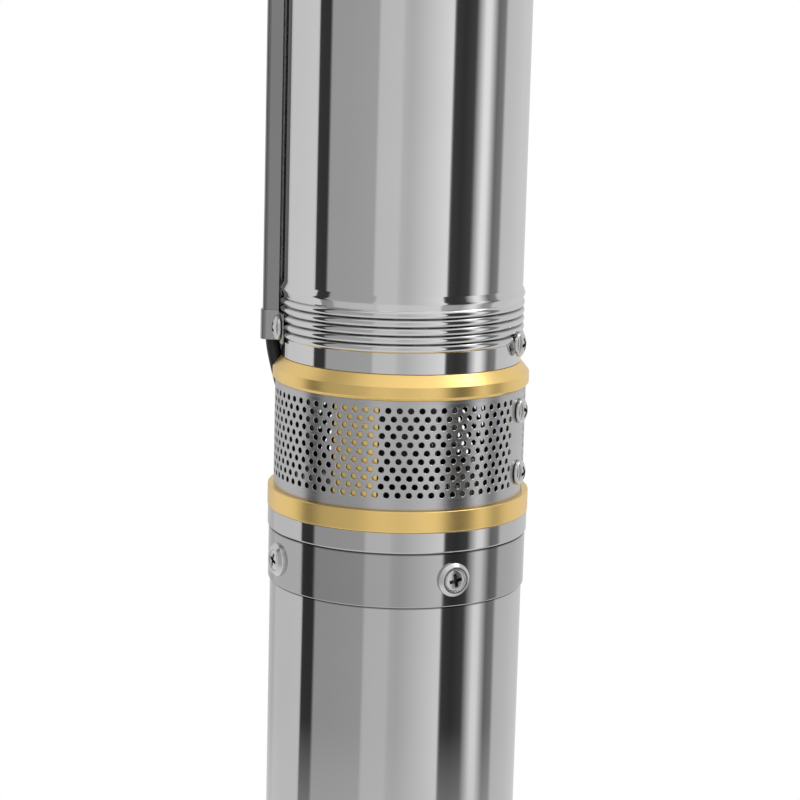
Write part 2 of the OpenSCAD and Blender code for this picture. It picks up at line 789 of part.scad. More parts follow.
// Holes round one row of the strainer, clear of the seam and of the lead's slot
module strainer_row(row) {
  z = strainer_h - top_margin - row * row_pitch;
  slot_half_az = asin((lead_slot_w + hole_d) / 2 / strainer_r);
  for (k = [0 : panel_count - 1]) {
    az = (k + (row % 2) / 2) * panel_az;
    by_seam = apart(az, seam_az) < seam_span / 2;
    by_slot = apart(az, slot_az) < slot_half_az && z > strainer_h - lead_slot_h - hole_d;
    if (!by_seam && !by_slot)
      radial(az, z) translate([0, 0, sheet_in_r - past]) cylinder(d = hole_d, h = strainer_t + 2 * past);
  }
}

module strainer() color("silver") translate([0, 0, z_ring_top + seat_gap]) difference() {
  linear_extrude(strainer_h) difference() {
    polygon(panel_points(strainer_r));
    polygon(panel_points(sheet_in_r));
    towards(seam_slit_az) translate([-seam_slit / 2, -strainer_r - past])
      square([seam_slit, strainer_t + 3 * past]);
  }
  for (row = [0 : hole_rows - 1]) strainer_row(row);
  for (level = strainer_screw_levels)
    radial(seam_az, level - seat_gap) screw_hole(sheet_in_r - 2 * past, strainer_r + past);
  towards(slot_az) translate([-lead_slot_w / 2, -strainer_r - past, strainer_h - lead_slot_h])
    cube([lead_slot_w, strainer_t + 4 * past, lead_slot_h + past]);
}

module strainer_screws() color("gainsboro") {
  for (level = strainer_screw_levels)
    radial(seam_az, z_ring_top + level) pan_screw(strainer_tip_r, strainer_r + seat_gap);
}

module intake_bush() color("dimgray") translate([0, 0, z_joint + intake_bush_low]) {
  ring(pump_shaft_r + bearing_wall, pump_shaft_r + run_gap, intake_bush_h);
}

// Pump tube with a rolled thread and bead at each end
module tube_end() {
  for (i = [0 : thread_turns - 1])
    translate([crest_r - rib_round, plain_band + (i + 0.5) * thread_pitch]) circle(rib_round);
  translate([bead_r - bead_round, bead_level]) circle(bead_round);
}

module pump_tube() color("silver") difference() {
  rotate_extrude() difference() {
    union() {
      translate([0, z_tube + seat_gap]) square([tube_r, tube_len]);
      translate([0, z_tube]) tube_end();
      translate([0, z_head]) mirror([0, 1]) tube_end();
    }
    translate([0, z_tube - past]) square([tube_bore_r, tube_len + 2 * past]);
  }
  for (z = [z_tube + lock_level, z_head - lock_level])
    radial(seam_az, z) screw_hole(neck_r - past, crest_r + past);
  for (z = [z_lower_strap, z_upper_strap]) both_ears(z) screw_hole(neck_r - past, crest_r + past);
}

module tube_lock_screws() color("gainsboro") {
  for (z = [z_tube + lock_level, z_head - lock_level])
    radial(seam_az, z) pan_screw(tip_r, crest_r + seat_gap);
}

// Stages
module pump_shaft() color("silver") {
  translate([0, 0, z_joint + shaft_meet]) cylinder(r = pump_shaft_r, h = z_stack - z_joint - shaft_meet);
  translate([0, 0, z_stack - weld])
    cylinder(r = hex_r, h = stage_count * stage_h + hub_low + weld, $fn = 6);
  translate([0, 0, z_spider]) cylinder(r = journal_r, h = spider_h + nut_level);
}

module stage_bowls() color("dimgray") for (i = STAGES) translate([0, 0, z_stack + (i - 1) * stage_h]) {
  rotate_extrude() polygon([[eye_r, 0], [bowl_r, 0], [bowl_r, stage_h - seat_gap],
    [bowl_bore_r, stage_h - seat_gap], [bowl_bore_r, floor_t], [eye_r, floor_t]]);
}

module impeller(i) color("ivory") translate([0, 0, z_stack + (i - 1) * stage_h]) difference() {
  union() {
    rotate_extrude() polygon([[eye_in_r, free_gap], [eye_r - free_gap, free_gap],
      [eye_r - free_gap, shroud_low], [impeller_r, shroud_low], [impeller_r, shroud_low + shroud_t],
      [eye_in_r, shroud_low + shroud_t]]);
    for (k = [1 : impeller_vanes])
      rotate([0, 0, 360 / impeller_vanes * k])
        translate([0, 0, shroud_low + shroud_t - weld])
          arc_vane(hub_r + vane_root, impeller_r - vane_back, passage_h + 2 * weld);
    translate([0, 0, shroud_high]) ring(impeller_r, hub_r - weld, shroud_t);
    translate([0, 0, hub_low]) cylinder(r = hub_r, h = stage_h - seat_gap);
  }
  translate([0, 0, -past]) cylinder(r = hex_r + run_gap, h = stage_h + 4 * past, $fn = 6);
}

module diffuser(i) color("gray") translate([0, 0, z_stack + (i - 1) * stage_h]) {
  translate([0, 0, disc_low]) ring(diffuser_r, hub_r + hub_room, disc_t);
  for (k = [1 : diffuser_vanes])
    rotate([0, 0, 360 / diffuser_vanes * k]) {
      translate([0, 0, floor_t + seat_gap])
        arc_vane(impeller_r + vane_back, diffuser_reach - vane_back, disc_low - floor_t + weld);
      translate([0, 0, disc_low + disc_t - weld])
        arc_vane(eye_r + vane_back, diffuser_reach - vane_back,
          stage_h - disc_low - disc_t + weld - 2 * seat_gap);
    }
}

module bearing_spider() color("goldenrod") translate([0, 0, z_spider]) difference() {
  hub_in_r = journal_r + bearing_wall + fit_gap;
  spoke_l = bowl_r - spider_rim - hub_in_r - hub_wall + 2 * past;
  union() {
    ring(bowl_r, bowl_r - spider_rim, spider_h);
    ring(hub_in_r + hub_wall, hub_in_r, spider_h);
    for (k = [0 : 3])
      rotate([0, 0, quarter * k])
        translate([hub_in_r + hub_wall - past, -spider_spoke_w / 2, 0])
          cube([spoke_l, spider_spoke_w, spider_h - spider_spoke_drop]);
  }
  translate([0, 0, -past]) cylinder(r = hub_r + hub_room, h = hub_low + free_gap + past);
}

module spider_bush() color("black") translate([0, 0, z_spider + hub_low + free_gap]) {
  ring(journal_r + bearing_wall, journal_r + run_gap, spider_h - hub_low - free_gap);
}

module shaft_nut() color("gainsboro") translate([0, 0, z_spider + spider_h + thrust_gap]) difference() {
  cylinder(r = journal_r + nut_wall, h = nut_level - 2 * thrust_gap, $fn = 6);
  translate([0, 0, -past]) cylinder(r = journal_r + fit_gap, h = nut_level + 2 * past);
}

// Discharge head
module lug_outline() {
  translate([eye_circle_r, eye_level]) circle(lug_r);
  polygon([[lug_root_r, 0], [eye_circle_r + lug_r, 0], [eye_circle_r + lug_r, eye_level],
    [eye_circle_r, eye_level + lug_r], [lug_root_r, eye_level + lug_r]]);
}

// Both rope lugs, or what is cut from both
module both_lugs() {
  for (s = [0, 180])
    rotate([0, 0, lug_az + s - quarter])
      translate([0, 0, z_cone - lug_sink]) rotate([90, 0, 0]) children();
}

module head_outside() {
  rotate_extrude() polygon([[0, z_neck_end + seat_gap], [neck_r, z_neck_end + seat_gap], [neck_r, z_head],
    [tube_r + tube_step, z_head], [upper_ring_r, z_head + bevel_h],
    [upper_ring_r, z_head + bevel_h + land_h], [strainer_r, z_cone], [boss_r + 2 * boss_flat, z_boss],
    [0, z_boss]]);
  translate([0, 0, z_boss - weld])
    cylinder(r = boss_r + boss_flat, h = outlet_depth - boss_tip + weld, $fn = 8);
  translate([0, 0, z_outlet - boss_tip - weld])
    cylinder(r1 = boss_r - boss_flat, r2 = boss_r - 2 * boss_flat, h = boss_tip + weld);
  both_lugs() translate([0, 0, -lug_t / 2]) linear_extrude(lug_t) lug_outline();
}

// Water way from the valve seat up to the outlet
module head_cavity() {
  rotate_extrude() polygon([[0, z_neck_end], [seat_r + fit_gap, z_neck_end],
    [seat_r + fit_gap, z_seat + seat_h], [cavity_r, z_seat + seat_h], [cavity_r, z_cone + throat_h],
    [throat_r, z_boss - throat_h], [throat_r, z_boss], [outlet_r, z_boss], [outlet_r, z_outlet + past],
    [0, z_outlet + past]]);
}

module stem_guide() {
  translate([0, 0, z_guide]) cylinder(r = guide_r, h = guide_h);
  for (k = [0 : 2])
    rotate([0, 0, third * k + guide_rib_az])
      translate([guide_r - 2 * past, -guide_rib_t / 2, z_guide + guide_rib_low])
        cube([cavity_r - guide_r - 2 * past, guide_rib_t, guide_rib_h]);
}

module discharge_head() color("goldenrod") difference() {
  union() {
    difference() {
      head_outside();
      head_cavity();
    }
    stem_guide();
  }
  translate([0, 0, z_guide - past]) cylinder(r = stem_r + run_gap, h = guide_h + 2 * past);
  both_lugs() translate([eye_circle_r, eye_level, -lug_t]) cylinder(d = eye_d, h = 2 * lug_t);
  towards(lead_az) translate([-lead_slot_w / 2, -upper_ring_r - past, z_head])
    cube([lead_slot_w, upper_ring_r - neck_r + 2 * past, z_cone - z_head + head_notch_h]);
  radial(seam_az, z_head - lock_level) screw_hole(tip_r - past, neck_r + past);
  both_ears(z_upper_strap) screw_hole(tip_r - past, neck_r + past);
}

module valve_seat() color("goldenrod") translate([0, 0, z_seat]) {
  rotate_extrude() polygon([[port_r, 0], [seat_r, 0], [seat_r, seat_h - seat_gap],
    [valve_r + valve_room, seat_h - seat_gap], [valve_r + valve_room, seat_h - seat_dip],
    [port_r + seat_lip, seat_h - seat_dip], [port_r + seat_lip, seat_h], [port_r, seat_h]]);
}

module valve_poppet() color("ivory") {
  rotate_extrude() polygon([[0, z_valve], [valve_r, z_valve], [valve_r, z_valve + valve_edge],
    [valve_r - valve_bevel, z_valve_top], [stem_r, z_valve_top], [stem_r, z_guide + guide_h - stem_tip],
    [0, z_guide + guide_h]]);
}

module valve_seal() color("black") translate([0, 0, z_seal_face]) ring(valve_r, seal_bore_r, seal_h);

module valve_spring() color("silver") {
  steps = spring_turns * spring_steps;
  rise = spring_l - spring_wire;
  points = [for (i = [0 : steps], k = [0 : spring_sides - 1])
    let (a = 360 * i / spring_steps, b = 360 * k / spring_sides, r = spring_r + spring_wire / 2 * cos(b))
    [r * cos(a), r * sin(a), z_spring + spring_wire / 2 + rise * i / steps + spring_wire / 2 * sin(b)]];
  polyhedron(points, tube_faces(steps + 1, spring_sides));
}

// Guard, straps and lead: a block with two round corners on its face
module round_face(half, face, foot, bend) {
  translate([-half, -face + bend]) square([2 * half, face - foot - bend]);
  translate([-half + bend, -face]) square([2 * (half - bend), bend + weld]);
  for (s = [-1, 1]) translate([s * (half - bend), -face + bend]) circle(bend);
}

// Bent channel section, open towards the tube
module channel(half, face, foot, bend) {
  difference() {
    round_face(half, face, foot, bend);
    round_face(half - guard_t, face - guard_t, foot - past, bend - guard_t);
  }
}

module cable_guard() color("silver") {
  towards(lead_az) translate([0, 0, z_guard])
    linear_extrude(z_guard_top - z_guard) channel(guard_half, guard_face, guard_foot, guard_bend);
}

// Ring sector of one strap ear, on one side of the channel
module strap_ear() {
  intersection() {
    difference() {
      circle(ear_r);
      circle(ear_in_r);
    }
    polygon([[strap_half - guard_t, 0], [strap_half - guard_t, -2 * ear_r],
      [2 * ear_r * tan(ear_end_az), -2 * ear_r], [0, 0]]);
  }
}

module strap_outline() {
  difference() {
    channel(strap_half, strap_face, ear_in_r * cos(ear_az), strap_bend);
    circle(ear_in_r);
  }
  strap_ear();
  mirror([1, 0]) strap_ear();
}

module strap(z) difference() {
  towards(lead_az) translate([0, 0, z - strap_h / 2]) linear_extrude(strap_h) strap_outline();
  both_ears(z) screw_hole(ear_in_r - past, ear_r + past);
}

module lower_strap() color("silver") strap(z_lower_strap);

module upper_strap() color("silver") strap(z_upper_strap);

module strap_screws() color("gainsboro") {
  for (z = [z_lower_strap, z_upper_strap]) both_ears(z) pan_screw(tip_r, ear_r + seat_gap);
}

module motor_lead() color("black") translate([0, 0, z_joint]) {
  points = [for (i = [0 : len(lead_route) - 1], q = lead_loop)
    let (p = lead_route[i], d = heading(lead_route, i), a = lead_turn[i], r = p[0] + q[0] * d[1])
    [r * sin(a) - q[1] * cos(a), -r * cos(a) - q[1] * sin(a), p[1] - q[0] * d[0]]];
  polyhedron(points, tube_faces(len(lead_route), len(lead_loop)));
}

module lead_cores() color("sienna") towards(lead_az) {
  for (k = [-1 : 1])
    translate([k * core_pitch, -lead_up_r, z_head + lead_end + seat_gap]) {
      cylinder(d = core_d, h = core_l - core_bare);
      cylinder(d = core_d * core_wire, h = core_l);
    }
}

motor_base();
base_screws();
diaphragm();
thrust_plate();
thrust_pads();
thrust_disc();
lower_end_bell();
lower_bush();
motor_shell();
stator_core();
stator_windings();
rotor_core();
rotor_cage();
motor_shaft();
upper_end_bell();
upper_bush();
seal_seat();
seal_head();
sand_slinger();
lead_gland();
motor_collar();
cup_washers();
collar_screws();
intake_bracket();
bracket_studs();
bracket_nuts();
shaft_coupling();
coupling_screws();
strainer();
strainer_screws();
intake_bush();
pump_tube();
tube_lock_screws();
pump_shaft();
stage_bowls();
bearing_spider();
spider_bush();
shaft_nut();
discharge_head();
valve_seat();
valve_poppet();
valve_seal();
valve_spring();
cable_guard();
lower_strap();
upper_strap();
strap_screws();
motor_lead();
lead_cores();
for (i = STAGES) {
  impeller(i);
  diffuser(i);
}
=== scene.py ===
import json
import math

import bmesh
import bpy
from mathutils import Matrix, Vector


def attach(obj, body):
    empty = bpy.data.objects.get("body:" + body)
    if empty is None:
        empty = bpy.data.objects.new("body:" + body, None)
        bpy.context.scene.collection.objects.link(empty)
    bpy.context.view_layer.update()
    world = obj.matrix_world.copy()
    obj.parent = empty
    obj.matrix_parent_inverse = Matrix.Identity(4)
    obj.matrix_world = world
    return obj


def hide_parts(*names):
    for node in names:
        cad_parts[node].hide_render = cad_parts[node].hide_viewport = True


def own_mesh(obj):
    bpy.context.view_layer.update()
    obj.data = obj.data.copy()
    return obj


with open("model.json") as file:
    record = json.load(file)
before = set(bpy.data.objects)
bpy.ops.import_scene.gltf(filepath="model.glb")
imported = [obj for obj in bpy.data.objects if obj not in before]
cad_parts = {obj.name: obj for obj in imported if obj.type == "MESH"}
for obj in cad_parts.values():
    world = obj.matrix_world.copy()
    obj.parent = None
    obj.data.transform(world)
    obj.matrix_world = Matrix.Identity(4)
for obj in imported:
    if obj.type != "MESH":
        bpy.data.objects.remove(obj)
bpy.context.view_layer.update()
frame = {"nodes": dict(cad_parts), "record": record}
nodes = frame["nodes"]
scene = bpy.context.scene
scene.view_settings.view_transform = "Standard"
MM = 0.001
MICRON = 0.000001

# Camera at the photograph's viewing angle
CAMERA_PLACE = (0.0, -0.850, 0.5213)
CAMERA_PITCH = 79.92
CAMERA_ROLL = 1.52
LENS = 102.4
SENSOR = 36
NEAR_CLIP = 0.01
camera_data = bpy.data.cameras.new("camera")
camera_data.lens = LENS
camera_data.sensor_width = SENSOR
camera_data.clip_start = NEAR_CLIP
camera = bpy.data.objects.new("camera", camera_data)
pitch = Matrix.Rotation(math.radians(CAMERA_PITCH), 4, "X")
roll = Matrix.Rotation(math.radians(CAMERA_ROLL), 4, "Z")
camera.matrix_world = Matrix.Translation(CAMERA_PLACE) @ pitch @ roll
scene.collection.objects.link(camera)
scene.camera = camera


# Materials
class Nodes:
    """A node tree, with short ways to add to it."""

    def __init__(self, tree):
        self.tree = tree

    def node(self, kind, **inputs):
        made = self.tree.nodes.new(kind)
        for key, value in inputs.items():
            made.inputs[key.replace("_", " ")].default_value = value
        return made

    def link(self, a, b):
        self.tree.links.new(a, b)

    def place(self):
        return self.node("ShaderNodeTexCoord").outputs["Object"]

    def axes(self):
        made = self.node("ShaderNodeSeparateXYZ")
        self.link(self.place(), made.inputs["Vector"])
        return [made.outputs[axis] for axis in "XYZ"]

    def math(self, operation, *values):
        made = self.node("ShaderNodeMath")
        made.operation = operation
        for socket, value in zip(made.inputs, values):
            if isinstance(value, (int, float)):
                socket.default_value = value
            else:
                self.link(value, socket)
        return made.outputs[0]

    def length(self, x, y):
        return self.math("SQRT", self.math("ADD", self.math("POWER", x, 2), self.math("POWER", y, 2)))

    def spread(self, value, low, high, start, end):
        """Go from low to high as the value goes from start to end."""
        made = self.node("ShaderNodeMapRange", From_Min=start, From_Max=end, To_Min=low, To_Max=high)
        self.link(value, made.inputs["Value"])
        return made.outputs["Result"]


# Sockets of a colour mix, the stretch of a noise that is put to use, and how softly a shade ends in height
MIX_SHARE = 0
MIX_FIRST = 6
MIX_SECOND = 7
MIX_RESULT = 2
NOISE_RANGE = (0.3, 0.7)
SPAN_SOFT = 0.6


class Look(Nodes):
    """A material with a Principled shader and nodes that vary it over the surface."""

    def __init__(self, name, colour, metallic, roughness):
        self.material = bpy.data.materials.new(name)
        self.material.use_nodes = True
        super().__init__(self.material.node_tree)
        self.shader = self.tree.nodes["Principled BSDF"]
        self.shader.inputs["Base Color"].default_value = (*colour, 1)
        self.shader.inputs["Metallic"].default_value = metallic
        self.shader.inputs["Roughness"].default_value = roughness
        self.paint = None
        self.colour = colour

    def noise(self, scale, detail, stretch=(1, 1, 1)):
        turn = self.node("ShaderNodeMapping", Scale=stretch)
        grain = self.node("ShaderNodeTexNoise", Scale=scale, Detail=detail)
        self.link(self.place(), turn.inputs["Vector"])
        self.link(turn.outputs["Vector"], grain.inputs["Vector"])
        return grain.outputs["Fac"]

    def rough(self, value, low, high):
        self.link(self.spread(value, low, high, *NOISE_RANGE), self.shader.inputs["Roughness"])

    def blend(self, share, first, second):
        """Mix two colours by a share; the first may be a node's output."""
        mix = self.node("ShaderNodeMix")
        mix.data_type = "RGBA"
        if isinstance(first, tuple):
            mix.inputs[MIX_FIRST].default_value = (*first, 1)
        else:
            self.link(first, mix.inputs[MIX_FIRST])
        mix.inputs[MIX_SECOND].default_value = (*second, 1)
        self.link(share, mix.inputs[MIX_SHARE])
        self.paint = mix.outputs[MIX_RESULT]
        self.link(self.paint, self.shader.inputs["Base Color"])

    def tint(self, value, darker, lighter):
        dark = tuple(c * darker for c in self.colour)
        light = tuple(min(1, c * lighter) for c in self.colour)
        self.blend(self.spread(value, 0, 1, *NOISE_RANGE), dark, light)

    def bump(self, value, height):
        made = self.node("ShaderNodeBump", Strength=1.0, Distance=height)
        self.link(value, made.inputs["Height"])
        self.link(made.outputs["Normal"], self.shader.inputs["Normal"])

    def shade(self, start, end, spans, colour):
        """Paint shade: darken from one radius in to another, within spans of height, where shade falls."""
        x, y, z = self.axes()
        near = self.spread(self.length(x, y), 1, 0, start * MM, end * MM)
        for low, high in spans:
            above = self.spread(z, 0, 1, (low - SPAN_SOFT) * MM, low * MM)
            below = self.spread(z, 1, 0, high * MM, (high + SPAN_SOFT) * MM)
            within = self.math("MULTIPLY", above, below)
            self.blend(self.math("MULTIPLY", near, within), self.paint, colour)


# Scale and detail of the grain and of the slow changes of tint, and how far the tint goes
LINES_ROUND = 2.5
LINES_DETAIL = 3
GRAIN_DETAIL = 4
TURNED_CLOUDS = (14, 4)
TURNED_TINT = (0.97, 1.02)
GRAINED_CLOUDS = (25, 5)
GRAINED_TINT = (0.9, 1.06)


def turned(name, colour, low, high, lines=1400, height=0):
    """Metal with fine lines round the pump's axis."""
    look = Look(name, colour, 1, (low + high) / 2)
    grain = look.noise(1, LINES_DETAIL, (LINES_ROUND, LINES_ROUND, lines))
    look.rough(grain, low, high)
    look.tint(look.noise(*TURNED_CLOUDS), *TURNED_TINT)
    if height:
        look.bump(grain, height * MICRON)
    return look


def grained(name, colour, low, high, height, metallic=1, scale=420):
    """A surface with an even fine grain."""
    look = Look(name, colour, metallic, (low + high) / 2)
    grain = look.noise(scale, GRAIN_DETAIL)
    look.rough(grain, low, high)
    look.tint(look.noise(*GRAINED_CLOUDS), *GRAINED_TINT)
    look.bump(grain, height * MICRON)
    return look


# Colour, least and most roughness, lines to the metre and their height in microns
TURNED = {
    "polished_steel": ((0.585, 0.585, 0.59), 0.045, 0.075),
    "tube_steel": ((0.68, 0.68, 0.685), 0.045, 0.075),
    "collar_steel": ((0.475, 0.475, 0.48), 0.06, 0.1),
    "guard_steel": ((0.28, 0.28, 0.285), 0.1, 0.16, 300),
    "strap_steel": ((0.37, 0.37, 0.375), 0.1, 0.16, 300),
    "strainer_steel": ((0.54, 0.54, 0.55), 0.2, 0.3, 900, 2),
    "brass": ((1.0, 0.695, 0.255), 0.28, 0.32, 700, 0.2),
    "shaft_steel": ((0.10, 0.10, 0.10), 0.3, 0.45, 1500, 3),
    "copper": ((0.75, 0.38, 0.2), 0.25, 0.4, 700, 30),
    "lamination": ((0.3, 0.31, 0.33), 0.4, 0.6, 1000, 30),
}
# Colour, least and most roughness, height of the grain in microns, metal or not, scale
GRAINED = {
    "cast_steel": ((0.52, 0.52, 0.53), 0.3, 0.42, 60),
    "screw_steel": ((0.68, 0.68, 0.68), 0.2, 0.26, 0.3),
    # Painted shade: a dark steel for the inside of the screws' cross recesses
    "recess_shade_steel": ((0.13, 0.13, 0.13), 0.35, 0.5, 0.8),
    "cage_aluminium": ((0.7, 0.7, 0.7), 0.3, 0.4, 30),
    "rubber": ((0.02, 0.02, 0.02), 0.5, 0.65, 40, 0),
    "lead_jacket": ((0.008, 0.008, 0.009), 0.35, 0.5, 30, 0, 700),
    "carbon": ((0.05, 0.05, 0.05), 0.4, 0.55, 20, 0),
    "stage_plastic": ((0.1, 0.1, 0.105), 0.4, 0.55, 30, 0),
}
LOOKS = {name: turned(name, *finish) for name, finish in TURNED.items()}
LOOKS |= {name: grained(name, *finish) for name, finish in GRAINED.items()}

# Finish of each CAD node, by the record's slots, with darker steel on the guard and its straps
OWN_LOOKS = {"cable_guard": "guard_steel", "lower_strap": "strap_steel", "upper_strap": "strap_steel"}
slot_of = {row["node"]: row["material_slot"] for row in frame["record"]["subparts"]}
for name, slot in slot_of.items():
    data = nodes[name].data
    data.materials.clear()
    data.materials.append(LOOKS[OWN_LOOKS.get(name, slot)].material)


# Shapes, in millimetres about the pump's axis
SHARP = 32


class Span:
    """The radii and levels that a CAD node reaches."""

    def __init__(self, name):
        points = [v.co / MM for v in nodes[name].data.vertices]
        radii = [math.hypot(p.x, p.y) for p in points]
        self.inner = min(radii)
        self.outer = max(radii)
        self.low = min(p.z for p in points)
        self.top = max(p.z for p in points)


def at(az, r, z):
    a = math.radians(az)
    return (r * math.sin(a) * MM, -r * math.cos(a) * MM, z * MM)


def piece(name, verts, faces, replaced, body="housing", sharp=SHARP, look=None, dark=None):
    """A smooth mesh that stands for CAD nodes, with the first one's finish or a look of its own.

    The faces marked as dark take a darker steel, painted shade in a screw's recess."""
    data = bpy.data.meshes.new(name)
    data.from_pydata(verts, [], faces)
    data.validate()
    mesh = bmesh.new()
    mesh.from_mesh(data)
    bmesh.ops.recalc_face_normals(mesh, faces=mesh.faces)
    mesh.to_mesh(data)
    mesh.free()
    data.shade_smooth()
    data.set_sharp_from_angle(angle=math.radians(sharp))
    slot = slot_of[replaced[0]]
    data.materials.append(LOOKS[look or slot].material)
    if dark:
        data.materials.append(LOOKS["recess_shade_steel"].material)
        data.polygons.foreach_set("material_index", [int(d) for d in dark])
    obj = bpy.data.objects.new(name, data)
    scene.collection.objects.link(obj)
    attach(obj, body)
    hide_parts(*replaced)
    return obj


def ease(t):
    t = max(0.0, min(1.0, t))
    return t * t * (3 - 2 * t)


# Rounding of an edge, and the strip beside it that keeps the wide faces flat in shading
ARC_STEPS = 4
KEEP = 0.15


def rounded(corners):
    """A closed outline of (r, z, rounding) corners, with arcs and support points."""
    outline = []
    count = len(corners)
    for i, (r, z, rounding) in enumerate(corners):
        here = Vector((r, z))
        if not rounding:
            outline.append(here)
            continue
        back = Vector(corners[i - 1][:2]) - here
        ahead = Vector(corners[(i + 1) % count][:2]) - here
        half = back.angle(ahead) / 2
        back.normalize()
        ahead.normalize()
        reach = rounding / math.tan(half)
        start = here + back * reach
        end = here + ahead * reach
        centre = here + (back + ahead).normalized() * (rounding / math.sin(half))
        outline.append(start + back * KEEP)
        for k in range(ARC_STEPS + 1):
            spoke = (start - centre).lerp(end - centre, k / ARC_STEPS)
            outline.append(centre + spoke.normalized() * rounding)
        outline.append(end + ahead * KEEP)
    return [(p.x, p.y) for p in outline]


def ring(inner, outer, low, top, foot=0, rim=0, bore=0):
    """Outline of a plain ring with rounded lower, upper and inner edges."""
    return rounded([(outer, low, foot), (outer, top, rim), (inner, top, bore), (inner, low, bore)])


LATHE_STEPS = 240


def lathe(outline, start=None, end=None, steps=LATHE_STEPS):
    """Turn a closed outline about the axis, all round or between two angles with end caps."""
    whole = start is None
    first = 0 if whole else start
    span = 360 if whole else end - start
    rings = steps if whole else max(3, round(steps * span / 360)) + 1
    gap = span / steps if whole else span / (rings - 1)
    count = len(outline)
    verts = [at(first + gap * k, r, z) for k in range(rings) for r, z in outline]
    faces = []
    for k in range(steps if whole else rings - 1):
        n = (k + 1) % rings
        for i in range(count):
            j = (i + 1) % count
            faces.append([k * count + i, k * count + j, n * count + j, n * count + i])
    if not whole:
        faces.append(list(range(count)))
        faces.append(list(range((rings - 1) * count, rings * count)))
    return verts, faces


def joined(*shapes):
    verts, faces = [], []
    for v, f in shapes:
        base = len(verts)
        verts += v
        faces += [[i + base for i in face] for face in f]
    return verts, faces


def tube_faces(rows, count):
    """Faces between rows of points, each a closed loop, with an end face on the first and last."""
    faces = []
    for i in range(rows - 1):
        for k in range(count):
            n = (k + 1) % count
            faces.append([i * count + k, i * count + n, (i + 1) * count + n, (i + 1) * count + k])
    return faces + [list(range(count)), list(range((rows - 1) * count, rows * count))]


def turned_by(shape, degrees):
    spin = Matrix.Rotation(math.radians(degrees), 3, "Z")
    return [tuple(spin @ Vector(v)) for v in shape[0]], shape[1]


# What the shapes below take from the CAD, and the gap between seated pieces
shell = Span("motor_shell")
collar = Span("motor_collar")
bell = Span("upper_end_bell")
bracket = Span("intake_bracket")
strainer = Span("strainer")
tube = Span("pump_tube")
strap = Span("lower_strap")
FIT = 0.05
EDGE = 0.25

# Motor shell, collar and flange, with painted shade in dark lines where the collar meets the shell and the
# flange
COLLAR_GROOVE = 0.2
COLLAR_FOOT = 0.5
FLANGE_FOOT = 0.7
FLANGE_RIM = 0.35
SEAL_SEAT_R = 17
SEAL_SEAT_DEEP = 14
SHADE_BELOW = 0.25
SHADE_ABOVE = 0.05
SHADE_SOFT = 0.1
CREVICE_SHADE_COLOUR = (0.1, 0.1, 0.1)
bell_body_r = shell.inner - FIT
flange_low = shell.top + FIT
seal_seat_z = bell.top - SEAL_SEAT_DEEP
bell_outline = rounded([(bell.inner, bell.low, 0), (bell_body_r, bell.low, 0), (bell_body_r, flange_low, 0),
    (bell.outer, flange_low, FLANGE_FOOT), (bell.outer, bell.top, FLANGE_RIM), (SEAL_SEAT_R, bell.top, 0),
    (SEAL_SEAT_R, seal_seat_z, 0), (bell.inner, seal_seat_z, 0)])
shell_outline = ring(shell.inner, shell.outer, shell.low, shell.top, EDGE, EDGE)
collar_outline = ring(collar.inner, collar.outer, collar.low, collar.top - COLLAR_GROOVE, COLLAR_FOOT, EDGE)
piece("motor_shell_tube", *lathe(shell_outline), ["motor_shell"])
piece("motor_collar_band", *lathe(collar_outline), ["motor_collar"], look="collar_steel")
piece("upper_end_bell_turned", *lathe(bell_outline), ["upper_end_bell"])
# Painted shade: the shell just under the collar and the collar just under the flange are darkened
crevice_shades = {
    "polished_steel": (shell.outer + SHADE_SOFT, collar.low),
    "collar_steel": (collar.outer + FIT, collar.top),
}
for look, (reach, level) in crevice_shades.items():
    LOOKS[look].shade(reach, reach + SHADE_SOFT, [(level - SHADE_BELOW, level + SHADE_ABOVE)], CREVICE_SHADE_COLOUR)

# Brass intake bracket: two rings, a neck in the tube, four columns, and the bearing hub on its spokes.
# A name that ends in IN is an inner radius
RING_BORE_R = 24
RING_EDGE = 0.4
UPPER_RING_IN = 42.5
UPPER_RING_R = 48.5
TOE = 1.1
TOE_H = 1.2
TOE_FOOT = 0.3
TOE_RIM = 0.5
LAND_H = 5
LAND_RIM = 0.35
CONE_TOP_R = 45.2
CONE_RIM = 0.12
NECK_IN = 34
COLUMN_IN = 36.05
COLUMN_R = 46.45
COLUMN_SINK = 0.2
COLUMN_AZ = -20
COLUMN_HALF_AZ = 10.5
COLUMN_COUNT = 4
HUB_R = 14.65
HUB_LOW = 392
HUB_TOP = 414
SPOKE_W = 6
SPOKE_TOP = 408
SPOKE_SINK = 1
SPOKE_COUNT = 3
NOTCH_AZ = -93
NOTCH_HALF_AZ = 8.6
BACK_SHADE = (1.0, 0.3)
BACK_SHADE_COLOUR = (0.05, 0.04, 0.025)


def block(low, high):
    """A box between two corners."""
    corners = [(x * MM, y * MM, z * MM) for x in (low[0], high[0]) for y in (low[1], high[1])
        for z in (low[2], high[2])]
    faces = [[0, 1, 3, 2], [4, 6, 7, 5], [0, 4, 5, 1], [2, 3, 7, 6], [0, 2, 6, 4], [1, 5, 7, 3]]
    return corners, faces


